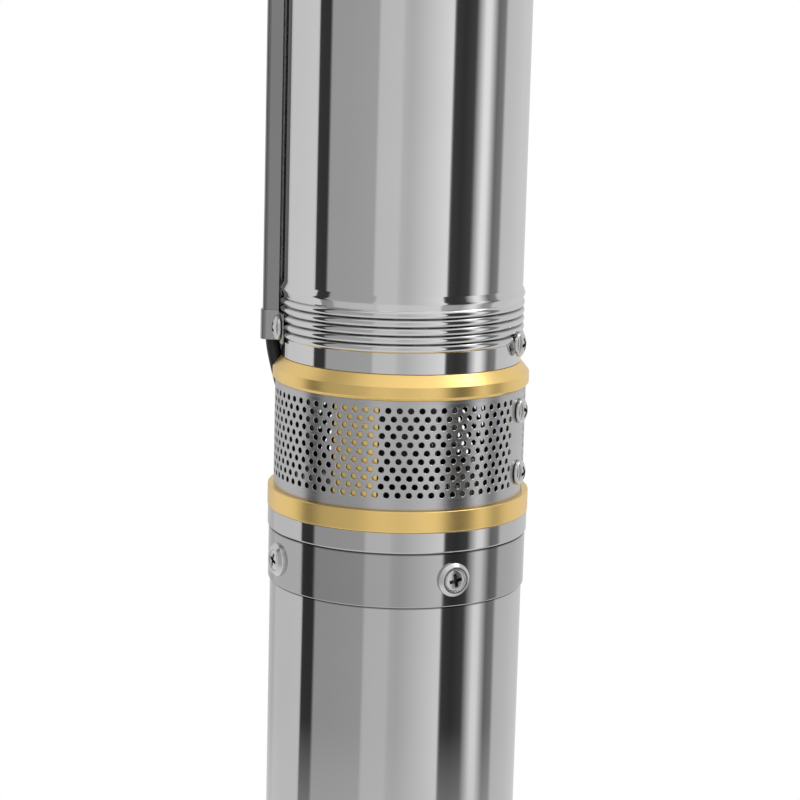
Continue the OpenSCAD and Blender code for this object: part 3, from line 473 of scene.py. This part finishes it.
def bracket_mesh():
    lower_top = strainer.low - FIT
    upper_low = strainer.top + FIT
    upper_top = tube.low - FIT
    spigot_r = tube.inner - FIT
    neck_r = UPPER_RING_IN + FIT
    spigot_low = upper_top - FIT
    upper_ring = rounded([(UPPER_RING_IN, upper_low, 0), (UPPER_RING_R - TOE, upper_low, TOE_FOOT),
        (UPPER_RING_R, upper_low + TOE_H, TOE_RIM), (UPPER_RING_R, upper_low + LAND_H, LAND_RIM),
        (CONE_TOP_R, upper_top, CONE_RIM), (UPPER_RING_IN, upper_top, 0)])
    neck = rounded([(NECK_IN, upper_low, 0), (neck_r, upper_low, 0), (neck_r, spigot_low, 0),
        (spigot_r, spigot_low, 0), (spigot_r, bracket.top, EDGE), (NECK_IN, bracket.top, EDGE)])
    column = ring(COLUMN_IN, COLUMN_R, lower_top - COLUMN_SINK, upper_low + COLUMN_SINK)
    spoke_start = (HUB_R - SPOKE_SINK, -SPOKE_W / 2, HUB_LOW)
    spoke_end = (NECK_IN + SPOKE_SINK, SPOKE_W / 2, SPOKE_TOP)
    spoke = block(spoke_start, spoke_end)
    shapes = [lathe(ring(RING_BORE_R, bracket.outer, bracket.low, lower_top, RING_EDGE, RING_EDGE)),
        lathe(neck), lathe(ring(bracket.inner, HUB_R, HUB_LOW, HUB_TOP, EDGE, EDGE, EDGE)),
        lathe(upper_ring, NOTCH_AZ + NOTCH_HALF_AZ, NOTCH_AZ + 360 - NOTCH_HALF_AZ)]
    for k in range(COLUMN_COUNT):
        middle = COLUMN_AZ + 360 / COLUMN_COUNT * k
        shapes.append(lathe(column, middle - COLUMN_HALF_AZ, middle + COLUMN_HALF_AZ))
    shapes += [turned_by(spoke, 360 / SPOKE_COUNT * k) for k in range(SPOKE_COUNT)]
    return joined(*shapes)


behind_strainer = [(strainer.low + FIT, strainer.top - FIT)]
piece("intake_bracket_brass", *bracket_mesh(), ["intake_bracket"])
# Painted shade: the brass inside the strainer is darkened further in from the sheet
LOOKS["brass"].shade(*[strainer.inner - back for back in BACK_SHADE], behind_strainer, BACK_SHADE_COLOUR)

# Perforated strainer: one wrapped sheet with staggered holes, a seam and a slot for the lead
STRAINER_T = 0.8
TOP_MARGIN = 3.6
ROW_PITCH = 3.1
ROWS = 11
PANELS = 72
HOLE_R = 1.1
HOLE_EDGE = 0.13
SEAM_AZ = 70
SEAM_HALF_AZ = 10
SLIT_AZ = 77.5
SLOT_HALF_AZ = 8.75
SLOT_HOLE_AZ = 10.1
SLOT_ROWS = 2
STRIPS = 8
SIDE_STEPS = 4
STRIP_AZ = 360 / PANELS / STRIPS
COLUMNS = PANELS * STRIPS
HOLE_SHADE = (0.05, 0.4)
HOLE_SHADE_COLOUR = (0.02, 0.02, 0.02)
strainer_r = strainer.inner + STRAINER_T


def apart(a, b):
    return abs((a - b + 540) % 360 - 180)


class Sheet:
    """Two skins of the strainer on one grid, with the edges between them closed."""

    def __init__(self):
        self.verts, self.faces, self.grid = [], [], {}

    def add(self, az, r, z):
        self.verts.append(at(az, r, z))
        return len(self.verts) - 1

    def knot(self, column, z, skin):
        key = (column % COLUMNS, round(z, 3), skin)
        if key not in self.grid:
            self.grid[key] = self.add(column * STRIP_AZ, strainer_r - skin * STRAINER_T, z)
        return self.grid[key]

    def strip(self, column, low, high):
        corners = ((0, low), (1, low), (1, high), (0, high))
        self.faces.append([self.knot(column + i, z, 0) for i, z in corners])
        self.faces.append([self.knot(column + i, z, 1) for i, z in corners[::-1]])

    def hole(self, column, low, high):
        z_mid = (low + high) / 2
        mid_az = (column + STRIPS / 2) * STRIP_AZ
        rise = (high - low) / SIDE_STEPS
        rim = [(i, low) for i in range(STRIPS)]
        rim += [(STRIPS, low + rise * i) for i in range(SIDE_STEPS)]
        rim += [(STRIPS - i, high) for i in range(STRIPS)]
        rim += [(0, high - rise * i) for i in range(SIDE_STEPS)]
        loops = [[self.knot(column + i, z, 0) for i, z in rim]]
        for radius, depth in ((HOLE_R + HOLE_EDGE, 0), (HOLE_R, HOLE_EDGE), (HOLE_R, STRAINER_T)):
            loop = []
            for i, z in rim:
                along = (i - STRIPS / 2) * math.radians(STRIP_AZ) * strainer_r
                a = math.atan2(z - z_mid, along)
                az = mid_az + math.degrees(radius * math.cos(a) / strainer_r)
                loop.append(self.add(az, strainer_r - depth, z_mid + radius * math.sin(a)))
            loops.append(loop)
        loops.append([self.knot(column + i, z, 1) for i, z in rim])
        for a, b in zip(loops, loops[1:]):
            for k in range(len(rim)):
                n = (k + 1) % len(rim)
                self.faces.append([a[k], a[n], b[n], b[k]])

    def close(self):
        """Join the two skins along every free edge of the outer one."""
        outer = {i: key for key, i in self.grid.items() if key[2] == 0}
        edges = {(a, b) for f in self.faces for a, b in zip(f, f[1:] + f[:1])}
        for a, b in sorted(edges):
            if (b, a) in edges or a not in outer or b not in outer:
                continue
            inner = [self.grid.get((*outer[i][:2], 1)) for i in (a, b)]
            if None not in inner:
                self.faces.append([b, a, *inner])


def strainer_mesh():
    sheet = Sheet()
    slit = round(SLIT_AZ / STRIP_AZ) % COLUMNS
    edges = [strainer.top - TOP_MARGIN + ROW_PITCH / 2 - k * ROW_PITCH for k in range(ROWS + 1)]
    bands = [(edges[0], strainer.top, -1)]
    bands += [(edges[k + 1], edges[k], k) for k in range(ROWS)]
    bands.append((strainer.low, edges[-1], ROWS))
    for low, high, row in bands:
        done = set()
        for k in range(PANELS if 0 <= row < ROWS else 0):
            column = k * STRIPS + (row % 2) * STRIPS // 2 - STRIPS // 2
            az = (column + STRIPS / 2) * STRIP_AZ
            by_slot = apart(az, NOTCH_AZ) < SLOT_HOLE_AZ and row <= SLOT_ROWS
            if apart(az, SEAM_AZ) >= SEAM_HALF_AZ and not by_slot:
                sheet.hole(column, low, high)
                done |= {(column + i) % COLUMNS for i in range(STRIPS)}
        for column in range(COLUMNS):
            notch = apart((column + 0.5) * STRIP_AZ, NOTCH_AZ) < SLOT_HALF_AZ and row < SLOT_ROWS
            if column not in done and column != slit and not notch:
                sheet.strip(column, low, high)
    sheet.close()
    return sheet.verts, sheet.faces


piece("strainer_sheet", *strainer_mesh(), ["strainer"])
# Painted shade: the sheet's inner skin and the inner part of its hole walls are darkened
LOOKS["strainer_steel"].shade(*[strainer.inner + out for out in HOLE_SHADE], behind_strainer, HOLE_SHADE_COLOUR)

# Pump tube with a right-hand rolled thread and a stop bead at each end
TUBE_WALL = 1.5
PLAIN_BAND = 7.8
THREAD_PITCH = 3.06
RISE = 0.85
TURNS = 5
RUN_OUT_AZ = 60
RIDGE_ROUND = 0.9
BEAD_START = 28.4
BEAD_FLARE = 0.38
BEAD_FOOT = 23.1
BEAD_FALL = 0.36
BEAD_CREST = 9
TUBE_STEPS = 256
TUBE_SHARP = 15
THREAD_LINE = 0.13
FINE_BEFORE = 2
FINE_AFTER = 1
MIDDLE_STEP = 40
ROOT_SHADE = (0.2, 0.62)
ROOT_SPAN = (8.75, 22.25)
ROOT_SHADE_COLOUR = (0.17, 0.17, 0.17)
tube_r = tube.inner + TUBE_WALL


def thread_rise(az, u, hand):
    """Height of the rolled thread and the bead over the tube, u above the tube's end."""
    turn = az * hand
    phase = (u - PLAIN_BAND) / THREAD_PITCH - turn / 360
    rise = 0.0
    if 0 <= phase <= TURNS:
        rise = RISE * math.sin(math.pi * (phase % 1)) ** RIDGE_ROUND
        if phase < 1:
            rise *= ease((turn + 180) / RUN_OUT_AZ)
        if phase > TURNS - 1:
            rise *= ease((180 - turn) / RUN_OUT_AZ)
    if BEAD_FOOT < u < BEAD_START:
        slopes = [(BEAD_START - u) * BEAD_FLARE, (u - BEAD_FOOT) * BEAD_FALL]
        rise = max(rise, -math.log(sum(math.exp(-BEAD_CREST * f) for f in slopes)) / BEAD_CREST)
    return max(0.0, rise)


def tube_mesh():
    start = PLAIN_BAND - FINE_BEFORE
    lines = round((BEAD_START + FINE_AFTER - start) / THREAD_LINE)
    fine = [start + THREAD_LINE * k for k in range(lines)]
    fine = sorted([u for u in fine if abs(u - BEAD_START) > THREAD_LINE / 2] + [BEAD_START])
    ends = [FIT, FIT + EDGE / 2, FIT + EDGE] + fine
    plain = 2 * BEAD_START
    middle = (tube.low + tube.top) / 2
    levels = [(u, tube.low - FIT + u, 1) for u in ends]
    levels += [(plain, middle + MIDDLE_STEP * k, 1) for k in (-1, 0, 1)]
    levels += [(u, tube.top + FIT - u, -1) for u in ends[::-1]]
    around = [-180 + 360 * k / TUBE_STEPS for k in range(TUBE_STEPS)]
    verts, faces, rings = [], [], []
    for u, z, hand in levels:
        rings.append(range(len(verts), len(verts) + TUBE_STEPS))
        cut = max(0.0, EDGE - (u - FIT))
        verts += [at(az, tube_r + thread_rise(az, u, hand) - cut, z) for az in around]
    for z in (tube.top, tube.low):
        rings.append(range(len(verts), len(verts) + TUBE_STEPS))
        verts += [at(az, tube.inner, z) for az in around]
    rings.append(rings[0])
    for a, b in zip(rings, rings[1:]):
        for k in range(TUBE_STEPS):
            n = (k + 1) % TUBE_STEPS
            faces.append([a[k], a[n], b[n], b[k]])
    return verts, faces


piece("pump_tube_rolled", *tube_mesh(), ["pump_tube"], sharp=TUBE_SHARP, look="tube_steel")
# Painted shade: the thread is darkened from its roots up towards the crests, near both ends of the tube
threads = [tuple(tube.low + u for u in ROOT_SPAN), tuple(tube.top - u for u in ROOT_SPAN[::-1])]
LOOKS["tube_steel"].shade(*[tube_r + out for out in ROOT_SHADE], threads, ROOT_SHADE_COLOUR)

# Screws: a turned head with a tapered cross recess, set outward along a radius
SCREW_STEPS = 40
CROWN_STEPS = 7
SCREW_R = 2.5
PAN_R = 4.75
PAN_H = 2.8
PAN_DOME = 7.98
PAN_LENGTH = 8
CSK_R = 3.95
CSK_H = 1.6
CSK_DOME = 17
CSK_LENGTH = 11
RIM_EDGE = 0.3
RECESS_SIZE = 6.2
RECESS_LIP = 0.05
RECESS_OVER = 1
RECESS_WIDE = RECESS_SIZE * 0.24
RECESS_NARROW = RECESS_SIZE * 0.15
RECESS_FOOT = RECESS_SIZE * 0.45
RECESS_DEEP = RECESS_SIZE * 0.4
WELD = 1e-7


def crown_z(r, ball, top):
    return top - ball + math.sqrt(ball * ball - r * r)


def dome(radius, ball, top):
    """Points of a head's crown from its softened rim to the middle."""
    flat_r = radius - RIM_EDGE
    rim_r = radius - RIM_EDGE / 2
    crown = [flat_r * (1 - k / CROWN_STEPS) for k in range(CROWN_STEPS + 1)]
    rim = [(rim_r, crown_z(rim_r, ball, top) - RIM_EDGE / 3)]
    return rim + [(r, crown_z(r, ball, top)) for r in crown]


def pan_outline():
    rim_z = crown_z(PAN_R, PAN_DOME, PAN_H)
    foot = [(0, -PAN_LENGTH), (SCREW_R, -PAN_LENGTH), (SCREW_R, 0), (PAN_R - RIM_EDGE, 0), (PAN_R, RIM_EDGE)]
    return foot + [(PAN_R, rim_z - RIM_EDGE)] + dome(PAN_R, PAN_DOME, PAN_H)


def csk_outline():
    top = CSK_DOME - math.sqrt(CSK_DOME ** 2 - CSK_R ** 2)
    foot = [(0, -CSK_LENGTH), (SCREW_R, -CSK_LENGTH), (SCREW_R, -CSK_H), (CSK_R, -RIM_EDGE)]
    return foot + dome(CSK_R, CSK_DOME, top)


def wedge(top):
    """Half of a cross recess: a slot that narrows towards its foot."""
    levels = ((top - RECESS_DEEP, RECESS_FOOT, RECESS_NARROW), (top + RECESS_OVER, RECESS_SIZE, RECESS_WIDE))
    signs = ((-1, -1), (1, -1), (1, 1), (-1, 1))
    corners = [(x * long / 2 * MM, y * wide / 2 * MM, z * MM) for z, long, wide in levels for x, y in signs]
    faces = [[3, 2, 1, 0], [4, 5, 6, 7], [0, 1, 5, 4], [1, 2, 6, 5], [2, 3, 7, 6], [3, 0, 4, 7]]
    return corners, faces


def plain_object(shape):
    """A closed mesh for a boolean, with no doubled points and no loose edges."""
    data = bpy.data.meshes.new("cutter")
    data.from_pydata(shape[0], [], shape[1])
    mesh = bmesh.new()
    mesh.from_mesh(data)
    bmesh.ops.remove_doubles(mesh, verts=mesh.verts, dist=WELD)
    bmesh.ops.delete(mesh, geom=[e for e in mesh.edges if not e.link_faces], context="EDGES")
    bmesh.ops.recalc_face_normals(mesh, faces=mesh.faces)
    mesh.to_mesh(data)
    mesh.free()
    obj = bpy.data.objects.new("cutter", data)
    scene.collection.objects.link(obj)
    return obj


def screw_shape(outline, ball):
    """A screw with its cross recess, and which of its faces lie in the recess."""
    top = max(z for _, z in outline)
    head = plain_object(lathe(outline, steps=SCREW_STEPS))
    cutters = [plain_object(turned_by(wedge(top), a)) for a in (0, 90)]
    for cutter in cutters:
        cut = head.modifiers.new("recess", "BOOLEAN")
        cut.operation = "DIFFERENCE"
        cut.solver = "EXACT"
        cut.object = cutter
    made = head.evaluated_get(bpy.context.evaluated_depsgraph_get()).to_mesh()
    shape = [tuple(v.co) for v in made.vertices], [list(p.vertices) for p in made.polygons]
    # Faces inside the recess are marked for its painted shade
    dark = []
    for face in made.polygons:
        middle = face.center / MM
        r = math.hypot(middle.x, middle.y)
        depth = crown_z(r, ball, top) - middle.z
        dark.append(r < RECESS_SIZE / 2 and RECESS_LIP < depth < RECESS_DEEP + RECESS_LIP)
    for obj in [head] + cutters:
        data = obj.data
        bpy.data.objects.remove(obj)
        bpy.data.meshes.remove(data)
    return shape, dark


def outward(shape, az, r, z, spin=0.0):
    """Stand a shape made along +Z on a radius of the pump."""
    a = math.radians(az)
    axes = Matrix(((math.cos(a), 0, math.sin(a)), (math.sin(a), 0, -math.cos(a)), (0, 1, 0)))
    turn = axes @ Matrix.Rotation(math.radians(spin), 3, "Z")
    seat = Vector(at(az, r, z))
    return [tuple(turn @ Vector(v) + seat) for v in shape[0]], shape[1]


# Where the screws sit: angles round the pump, seats, and how far each cross is turned from the one before
COLLAR_AZ = [25.6 + 90 * k for k in range(4)]
BASE_AZ = [45 + 90 * k for k in range(4)]
LEAD_AZ = -96
EAR_AZ = 17.5
EAR_T = 0.6
BASE_PROUD = 0.6
CUP_PROUD = 2
CSK_SUNK = 0.25
FIRST_SPIN = 12
NEXT_SPIN = 50
cup_face_r = collar.outer + CUP_PROUD
pan = screw_shape(pan_outline(), PAN_DOME)
csk = screw_shape(csk_outline(), CSK_DOME)
SCREW_SETS = {
    "strainer_screws": (pan, strainer_r + FIT, [SEAM_AZ]),
    "tube_lock_screws": (pan, tube_r + RISE + FIT, [SEAM_AZ]),
    "strap_screws": (pan, strap.inner + EAR_T + FIT, [LEAD_AZ - EAR_AZ, LEAD_AZ + EAR_AZ]),
    "collar_screws": (csk, cup_face_r - CSK_SUNK, COLLAR_AZ),
    "base_screws": (csk, shell.outer + BASE_PROUD, BASE_AZ),
}


def levels_of(name):
    """Heights of a CAD node's screws or washers: the middle of each run of points with no wide gap."""
    heights = sorted(v.co.z / MM for v in nodes[name].data.vertices)
    runs = [[heights[0]]]
    for z in heights[1:]:
        if z - runs[-1][-1] > PAN_R:
            runs.append([])
        runs[-1].append(z)
    return [(run[0] + run[-1]) / 2 for run in runs]


for name, ((shape, dark), seat, around) in SCREW_SETS.items():
    places = [(az, z) for z in levels_of(name) for az in around]
    heads = [outward(shape, az, seat, z, FIRST_SPIN + NEXT_SPIN * i) for i, (az, z) in enumerate(places)]
    piece(name + "_cross", *joined(*heads), [name], dark=dark * len(places))

# Cup washers under the collar screws
CUP_STEPS = 64
CUP_BORE_R = 2.55
CUP_MOUTH_R = 4.15
CUP_RIM_R = 5.0
CUP_R = 6.3
CUP_MOUTH_Z = -0.3
CUP_SHOULDER_Z = -1.2
CUP_THROAT_Z = -1.9
CUP_FOOT_Z = -2.6
CUP_MOUTH_EDGE = 0.15
CUP_RIM_EDGE = 0.35
CUP_SHOULDER_EDGE = 0.5
cup_outline = rounded([(CUP_BORE_R, CUP_FOOT_Z, 0), (CUP_R, CUP_FOOT_Z, 0),
    (CUP_R, CUP_SHOULDER_Z, CUP_SHOULDER_EDGE), (CUP_RIM_R, 0, CUP_RIM_EDGE),
    (CUP_MOUTH_R, 0, CUP_MOUTH_EDGE), (CUP_MOUTH_R, CUP_MOUTH_Z, 0), (CUP_BORE_R, CUP_THROAT_Z, 0)])
cup = lathe(cup_outline, steps=CUP_STEPS)
cups = [outward(cup, az, cup_face_r, z) for z in levels_of("cup_washers") for az in COLLAR_AZ]
piece("cup_washers_formed", *joined(*cups), ["cup_washers"])

# Flat motor lead: height over the joint, share of the way out to the guard, share of the turn.
# The route is the CAD's, with a straighter slant below the strap, as in the photograph
LEAD_W = 11
LEAD_T = 5.2
LEAD_LOW_R = 40.7
LEAD_UP_R = 49.05
LEAD_LOW_AZ = -90
LEAD_END = 26
LEAD_FINE = 6
LEAD_ARC = 8
LEAST_GAP = 1e-6
head_up = tube.top + FIT - bell.top
LEAD_STEPS = [(-6, 0, 0), (2, 0, 0), (10, 0, 0), (18, 0.02, 0), (26, 0.1, 0.05), (33, 0.2, 0.1),
    (39, 0.34, 0.18), (44.5, 0.47, 0.28), (50, 0.65, 0.45), (55, 0.81, 0.68), (58.5, 0.91, 0.84),
    (61, 0.96, 0.93), (63.5, 0.99, 1), (66, 1, 1), (72, 1, 1), (90, 1, 1), (150, 1, 1), (head_up, 1, 1),
    (head_up + LEAD_END, 1, 1)]


def smooth_route(points, fine):
    """A curve through the points that keeps their direction on both sides."""
    route = []
    for i in range(len(points) - 1):
        p = [Vector(points[min(max(i + k, 0), len(points) - 1)]) for k in (-1, 0, 1, 2)]
        gap = (p[2] - p[1]).length
        before = (p[2] - p[0]) / max((p[2] - p[0]).length, LEAST_GAP) * gap
        after = (p[3] - p[1]) / max((p[3] - p[1]).length, LEAST_GAP) * gap
        for k in range(fine):
            t = k / fine
            over = ease(t)
            leave = t * (1 - t) ** 2
            arrive = t * t * (t - 1)
            route.append(p[1] * (1 - over) + before * leave + p[2] * over + after * arrive)
    route.append(Vector(points[-1]))
    return route


def lead_mesh():
    out_by = LEAD_UP_R - LEAD_LOW_R
    turn_by = LEAD_AZ - LEAD_LOW_AZ
    points = [(LEAD_LOW_R + out * out_by, bell.top + up, LEAD_LOW_AZ + turn * turn_by)
        for up, out, turn in LEAD_STEPS]
    route = smooth_route(points, LEAD_FINE)
    flat = (LEAD_W - LEAD_T) / 2
    arc = [math.pi * k / LEAD_ARC for k in range(LEAD_ARC + 1)]
    section = [(LEAD_T / 2 * math.cos(a), flat + LEAD_T / 2 * math.sin(a)) for a in arc]
    section += [(-x, -y) for x, y in section]
    verts = []
    for i, (r, z, az) in enumerate(route):
        ahead, back = route[min(i + 1, len(route) - 1)], route[max(i - 1, 0)]
        run = Vector((ahead.x - back.x, ahead.y - back.y)).normalized()
        side = Vector(at(az + 90, 1, 0))
        for x, y in section:
            verts.append(tuple(Vector(at(az, r + x * run.y, z - x * run.x)) + side * y))
    return verts, tube_faces(len(route), len(section))


piece("motor_lead_flat", *lead_mesh(), ["motor_lead"])

# Spring of the check valve, built at one length; the real one shortens as the valve lifts
SPRING_LOW = 605.75
SPRING_TOP = 629.35
SPRING_R = 6.8
SPRING_WIRE = 1.8
SPRING_TURNS = 6
SPRING_STEPS = 28
SPRING_SIDES = 12


def spring_mesh():
    steps = SPRING_TURNS * SPRING_STEPS
    rise = SPRING_TOP - SPRING_LOW - SPRING_WIRE
    wire_r = SPRING_WIRE / 2
    verts = []
    for i in range(steps + 1):
        z = SPRING_LOW + wire_r + rise * i / steps
        for k in range(SPRING_SIDES):
            b = 2 * math.pi * k / SPRING_SIDES
            r = SPRING_R + wire_r * math.cos(b)
            verts.append(at(360 * i / SPRING_STEPS, r, z + wire_r * math.sin(b)))
    return verts, tube_faces(steps + 1, SPRING_SIDES)


spring = piece("valve_spring_coil", *spring_mesh(), ["valve_spring"])
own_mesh(spring)

# Studio, in metres: a round wall and floor with stripes of light that only reflections see
STAGE_STEPS = 96


class Card(Nodes):
    """A stage object with a glow that metal reflects and nothing else sees."""

    def __init__(self, name, verts, faces):
        data = bpy.data.meshes.new(name)
        data.from_pydata(verts, [], faces)
        material = bpy.data.materials.new(name)
        material.use_nodes = True
        super().__init__(material.node_tree)
        self.tree.nodes.clear()
        self.glow = self.node("ShaderNodeEmission")
        self.link(self.glow.outputs["Emission"], self.node("ShaderNodeOutputMaterial").inputs["Surface"])
        data.materials.append(material)
        obj = bpy.data.objects.new(name, data)
        scene.collection.objects.link(obj)
        obj.visible_camera = False
        obj.visible_diffuse = False
        obj.visible_shadow = False
        obj.visible_transmission = False

    def ramp(self, share, stops):
        """Brightness at angles round the studio."""
        made = self.node("ShaderNodeValToRGB")
        self.link(share, made.inputs["Fac"])
        marks = made.color_ramp.elements
        while len(marks) > 1:
            marks.remove(marks[-1])
        for i, (az, level) in enumerate(stops):
            mark = marks[0] if i == 0 else marks.new((az + 180) / 360)
            mark.position = (az + 180) / 360
            mark.color = (level, level, level, 1)
        return made.outputs["Color"]


def round_strips(profile):
    """Strips round the axis between (radius, height) points."""
    verts, faces = [], []
    count = len(profile)
    for k in range(STAGE_STEPS):
        a = 2 * math.pi * k / STAGE_STEPS
        verts += [(r * math.sin(a), -r * math.cos(a), z) for r, z in profile]
        here = k * count
        there = (k + 1) % STAGE_STEPS * count
        faces += [[here + i, there + i, there + i + 1, here + i + 1] for i in range(count - 1)]
    return verts, faces


# Angle round the studio from the camera's side, and brightness there.
# Wall: pale behind and at the left, a black card, grey and paler ones towards the camera, then at the right
# a bright one, a wide black one, a strip light, a narrow grey one and pale again
WALL = [(-180, 0.55), (-143, 0.50), (-136, 0.62), (-94, 0.68), (-91.5, 0.66),
    (-90.3, 0.04), (-76.5, 0.035),
    (-75, 0.37), (-57, 0.375), (-28, 0.40), (-26, 0.58), (-6, 0.60), (-3, 0.52), (3, 0.50), (8, 0.53),
    (11, 0.56), (38.5, 0.80), (41, 0.80),
    (42.5, 0.05), (53, 0.035), (64, 0.06),
    (71, 0.60), (75, 0.90), (80, 0.88), (87, 0.35),
    (90, 0.16), (99, 0.22), (103, 0.60), (138, 0.66), (180, 0.55)]
CEILING = [(-180, 0.45), (-110, 0.30), (-70, 0.40), (-50, 0.75), (20, 0.80), (60, 0.85), (70, 1.0),
    (90, 1.0), (100, 0.8), (180, 0.45)]
HOT = [(-180, 0.0), (78, 0.0), (90, 1.0), (104, 1.0), (116, 0.0), (180, 0.0)]
HOT_GAIN = 2.8
WALL_GAIN = 1.18
WALL_R = 1.6
STAGE_Z = 0.003
CEILING_START = 1.8
CEILING_FULL = 2.1
WALL_PROFILE = [(0.05, STAGE_Z), (WALL_R, STAGE_Z), (WALL_R, CEILING_FULL), (1.2, 2.5), (0.6, 2.75),
    (0.02, 2.8)]
# The stripes run on over the floor and fade into a plain pale one towards the pump
FLOOR_FAR = 0.8
FLOOR_NEAR = 0.22
FLOOR_LEVEL = 0.7
wall = Card("studio_wall", *round_strips(WALL_PROFILE))
x, y, z = wall.axes()
turn = wall.math("ARCTAN2", x, wall.math("MULTIPLY", y, -1))
share = wall.spread(turn, 0, 1, -math.pi, math.pi)
high = wall.spread(z, 0, 1, CEILING_START, CEILING_FULL)
near = wall.spread(wall.length(x, y), 0, 1, FLOOR_FAR, FLOOR_NEAR)
striped = wall.math("MULTIPLY", wall.ramp(share, WALL), wall.math("SUBTRACT", 1, near))
low_level = wall.math("MULTIPLY_ADD", near, FLOOR_LEVEL, striped)
low_level = wall.math("MULTIPLY", low_level, wall.math("SUBTRACT", 1, high))
high_level = wall.math("MULTIPLY_ADD", wall.ramp(share, HOT), HOT_GAIN, wall.ramp(share, CEILING))
total = wall.math("MULTIPLY_ADD", high_level, high, low_level)
wall.link(wall.math("MULTIPLY", total, WALL_GAIN), wall.glow.inputs["Strength"])

# World: white where the camera and reflections see it, softer on what it lights
SOFT_WHITE = (0.8, 0.8, 0.8, 1)
WHITE = (1, 1, 1, 1)
world = bpy.data.worlds.new("studio")
scene.world = world
world.use_nodes = True
sky = Nodes(world.node_tree)
soft = sky.tree.nodes["Background"]
soft.inputs["Color"].default_value = SOFT_WHITE
white = sky.node("ShaderNodeBackground", Color=WHITE)
rays = sky.node("ShaderNodeLightPath").outputs
seen = sky.math("MAXIMUM", rays["Is Camera Ray"], rays["Is Glossy Ray"])
seen = sky.math("MAXIMUM", seen, rays["Is Transmission Ray"])
choose = sky.node("ShaderNodeMixShader")
sky.link(seen, choose.inputs["Fac"])
sky.link(soft.outputs["Background"], choose.inputs[1])
sky.link(white.outputs["Background"], choose.inputs[2])
sky.link(choose.outputs["Shader"], sky.tree.nodes["World Output"].inputs["Surface"])

# Softbox above the camera's right
LAMP_PLACE = Vector((0.9, -1.0, 1.5))
LAMP_AIM = Vector((0, 0, 0.4))
LAMP_W = 0.5
LAMP_H = 0.8
LAMP_ENERGY = 12
lamp_data = bpy.data.lights.new("softbox", "AREA")
lamp_data.shape = "RECTANGLE"
lamp_data.size = LAMP_W
lamp_data.size_y = LAMP_H
lamp_data.energy = LAMP_ENERGY
lamp = bpy.data.objects.new("softbox", lamp_data)
lamp.location = LAMP_PLACE
lamp.rotation_euler = (LAMP_AIM - LAMP_PLACE).to_track_quat("-Z", "Y").to_euler()
lamp.visible_glossy = False
scene.collection.objects.link(lamp)

# Floor: a pale disc that fades out before the photograph's view reaches it
FLOOR_R = 0.44
FLOOR_FADE = 0.3
FLOOR_COLOUR = (0.86, 0.86, 0.86)
FLOOR_ROUGH = 0.8
floor_data = bpy.data.meshes.new("floor")
around = [2 * math.pi * k / STAGE_STEPS for k in range(STAGE_STEPS)]
rim = [(FLOOR_R * math.cos(a), FLOOR_R * math.sin(a), 0) for a in around]
floor_data.from_pydata(rim, [], [list(range(STAGE_STEPS))])
floor = bpy.data.objects.new("floor", floor_data)
scene.collection.objects.link(floor)
floor_look = Look("floor", FLOOR_COLOUR, 0, FLOOR_ROUGH)
reach = floor_look.length(*floor_look.axes()[:2])
fade = floor_look.spread(reach, 0, 1, FLOOR_FADE, FLOOR_R)
clear = floor_look.node("ShaderNodeBsdfTransparent")
mix = floor_look.node("ShaderNodeMixShader")
floor_look.link(fade, mix.inputs["Fac"])
floor_look.link(floor_look.shader.outputs["BSDF"], mix.inputs[1])
floor_look.link(clear.outputs["BSDF"], mix.inputs[2])
floor_look.link(mix.outputs["Shader"], floor_look.tree.nodes["Material Output"].inputs["Surface"])
floor_data.materials.append(floor_look.material)
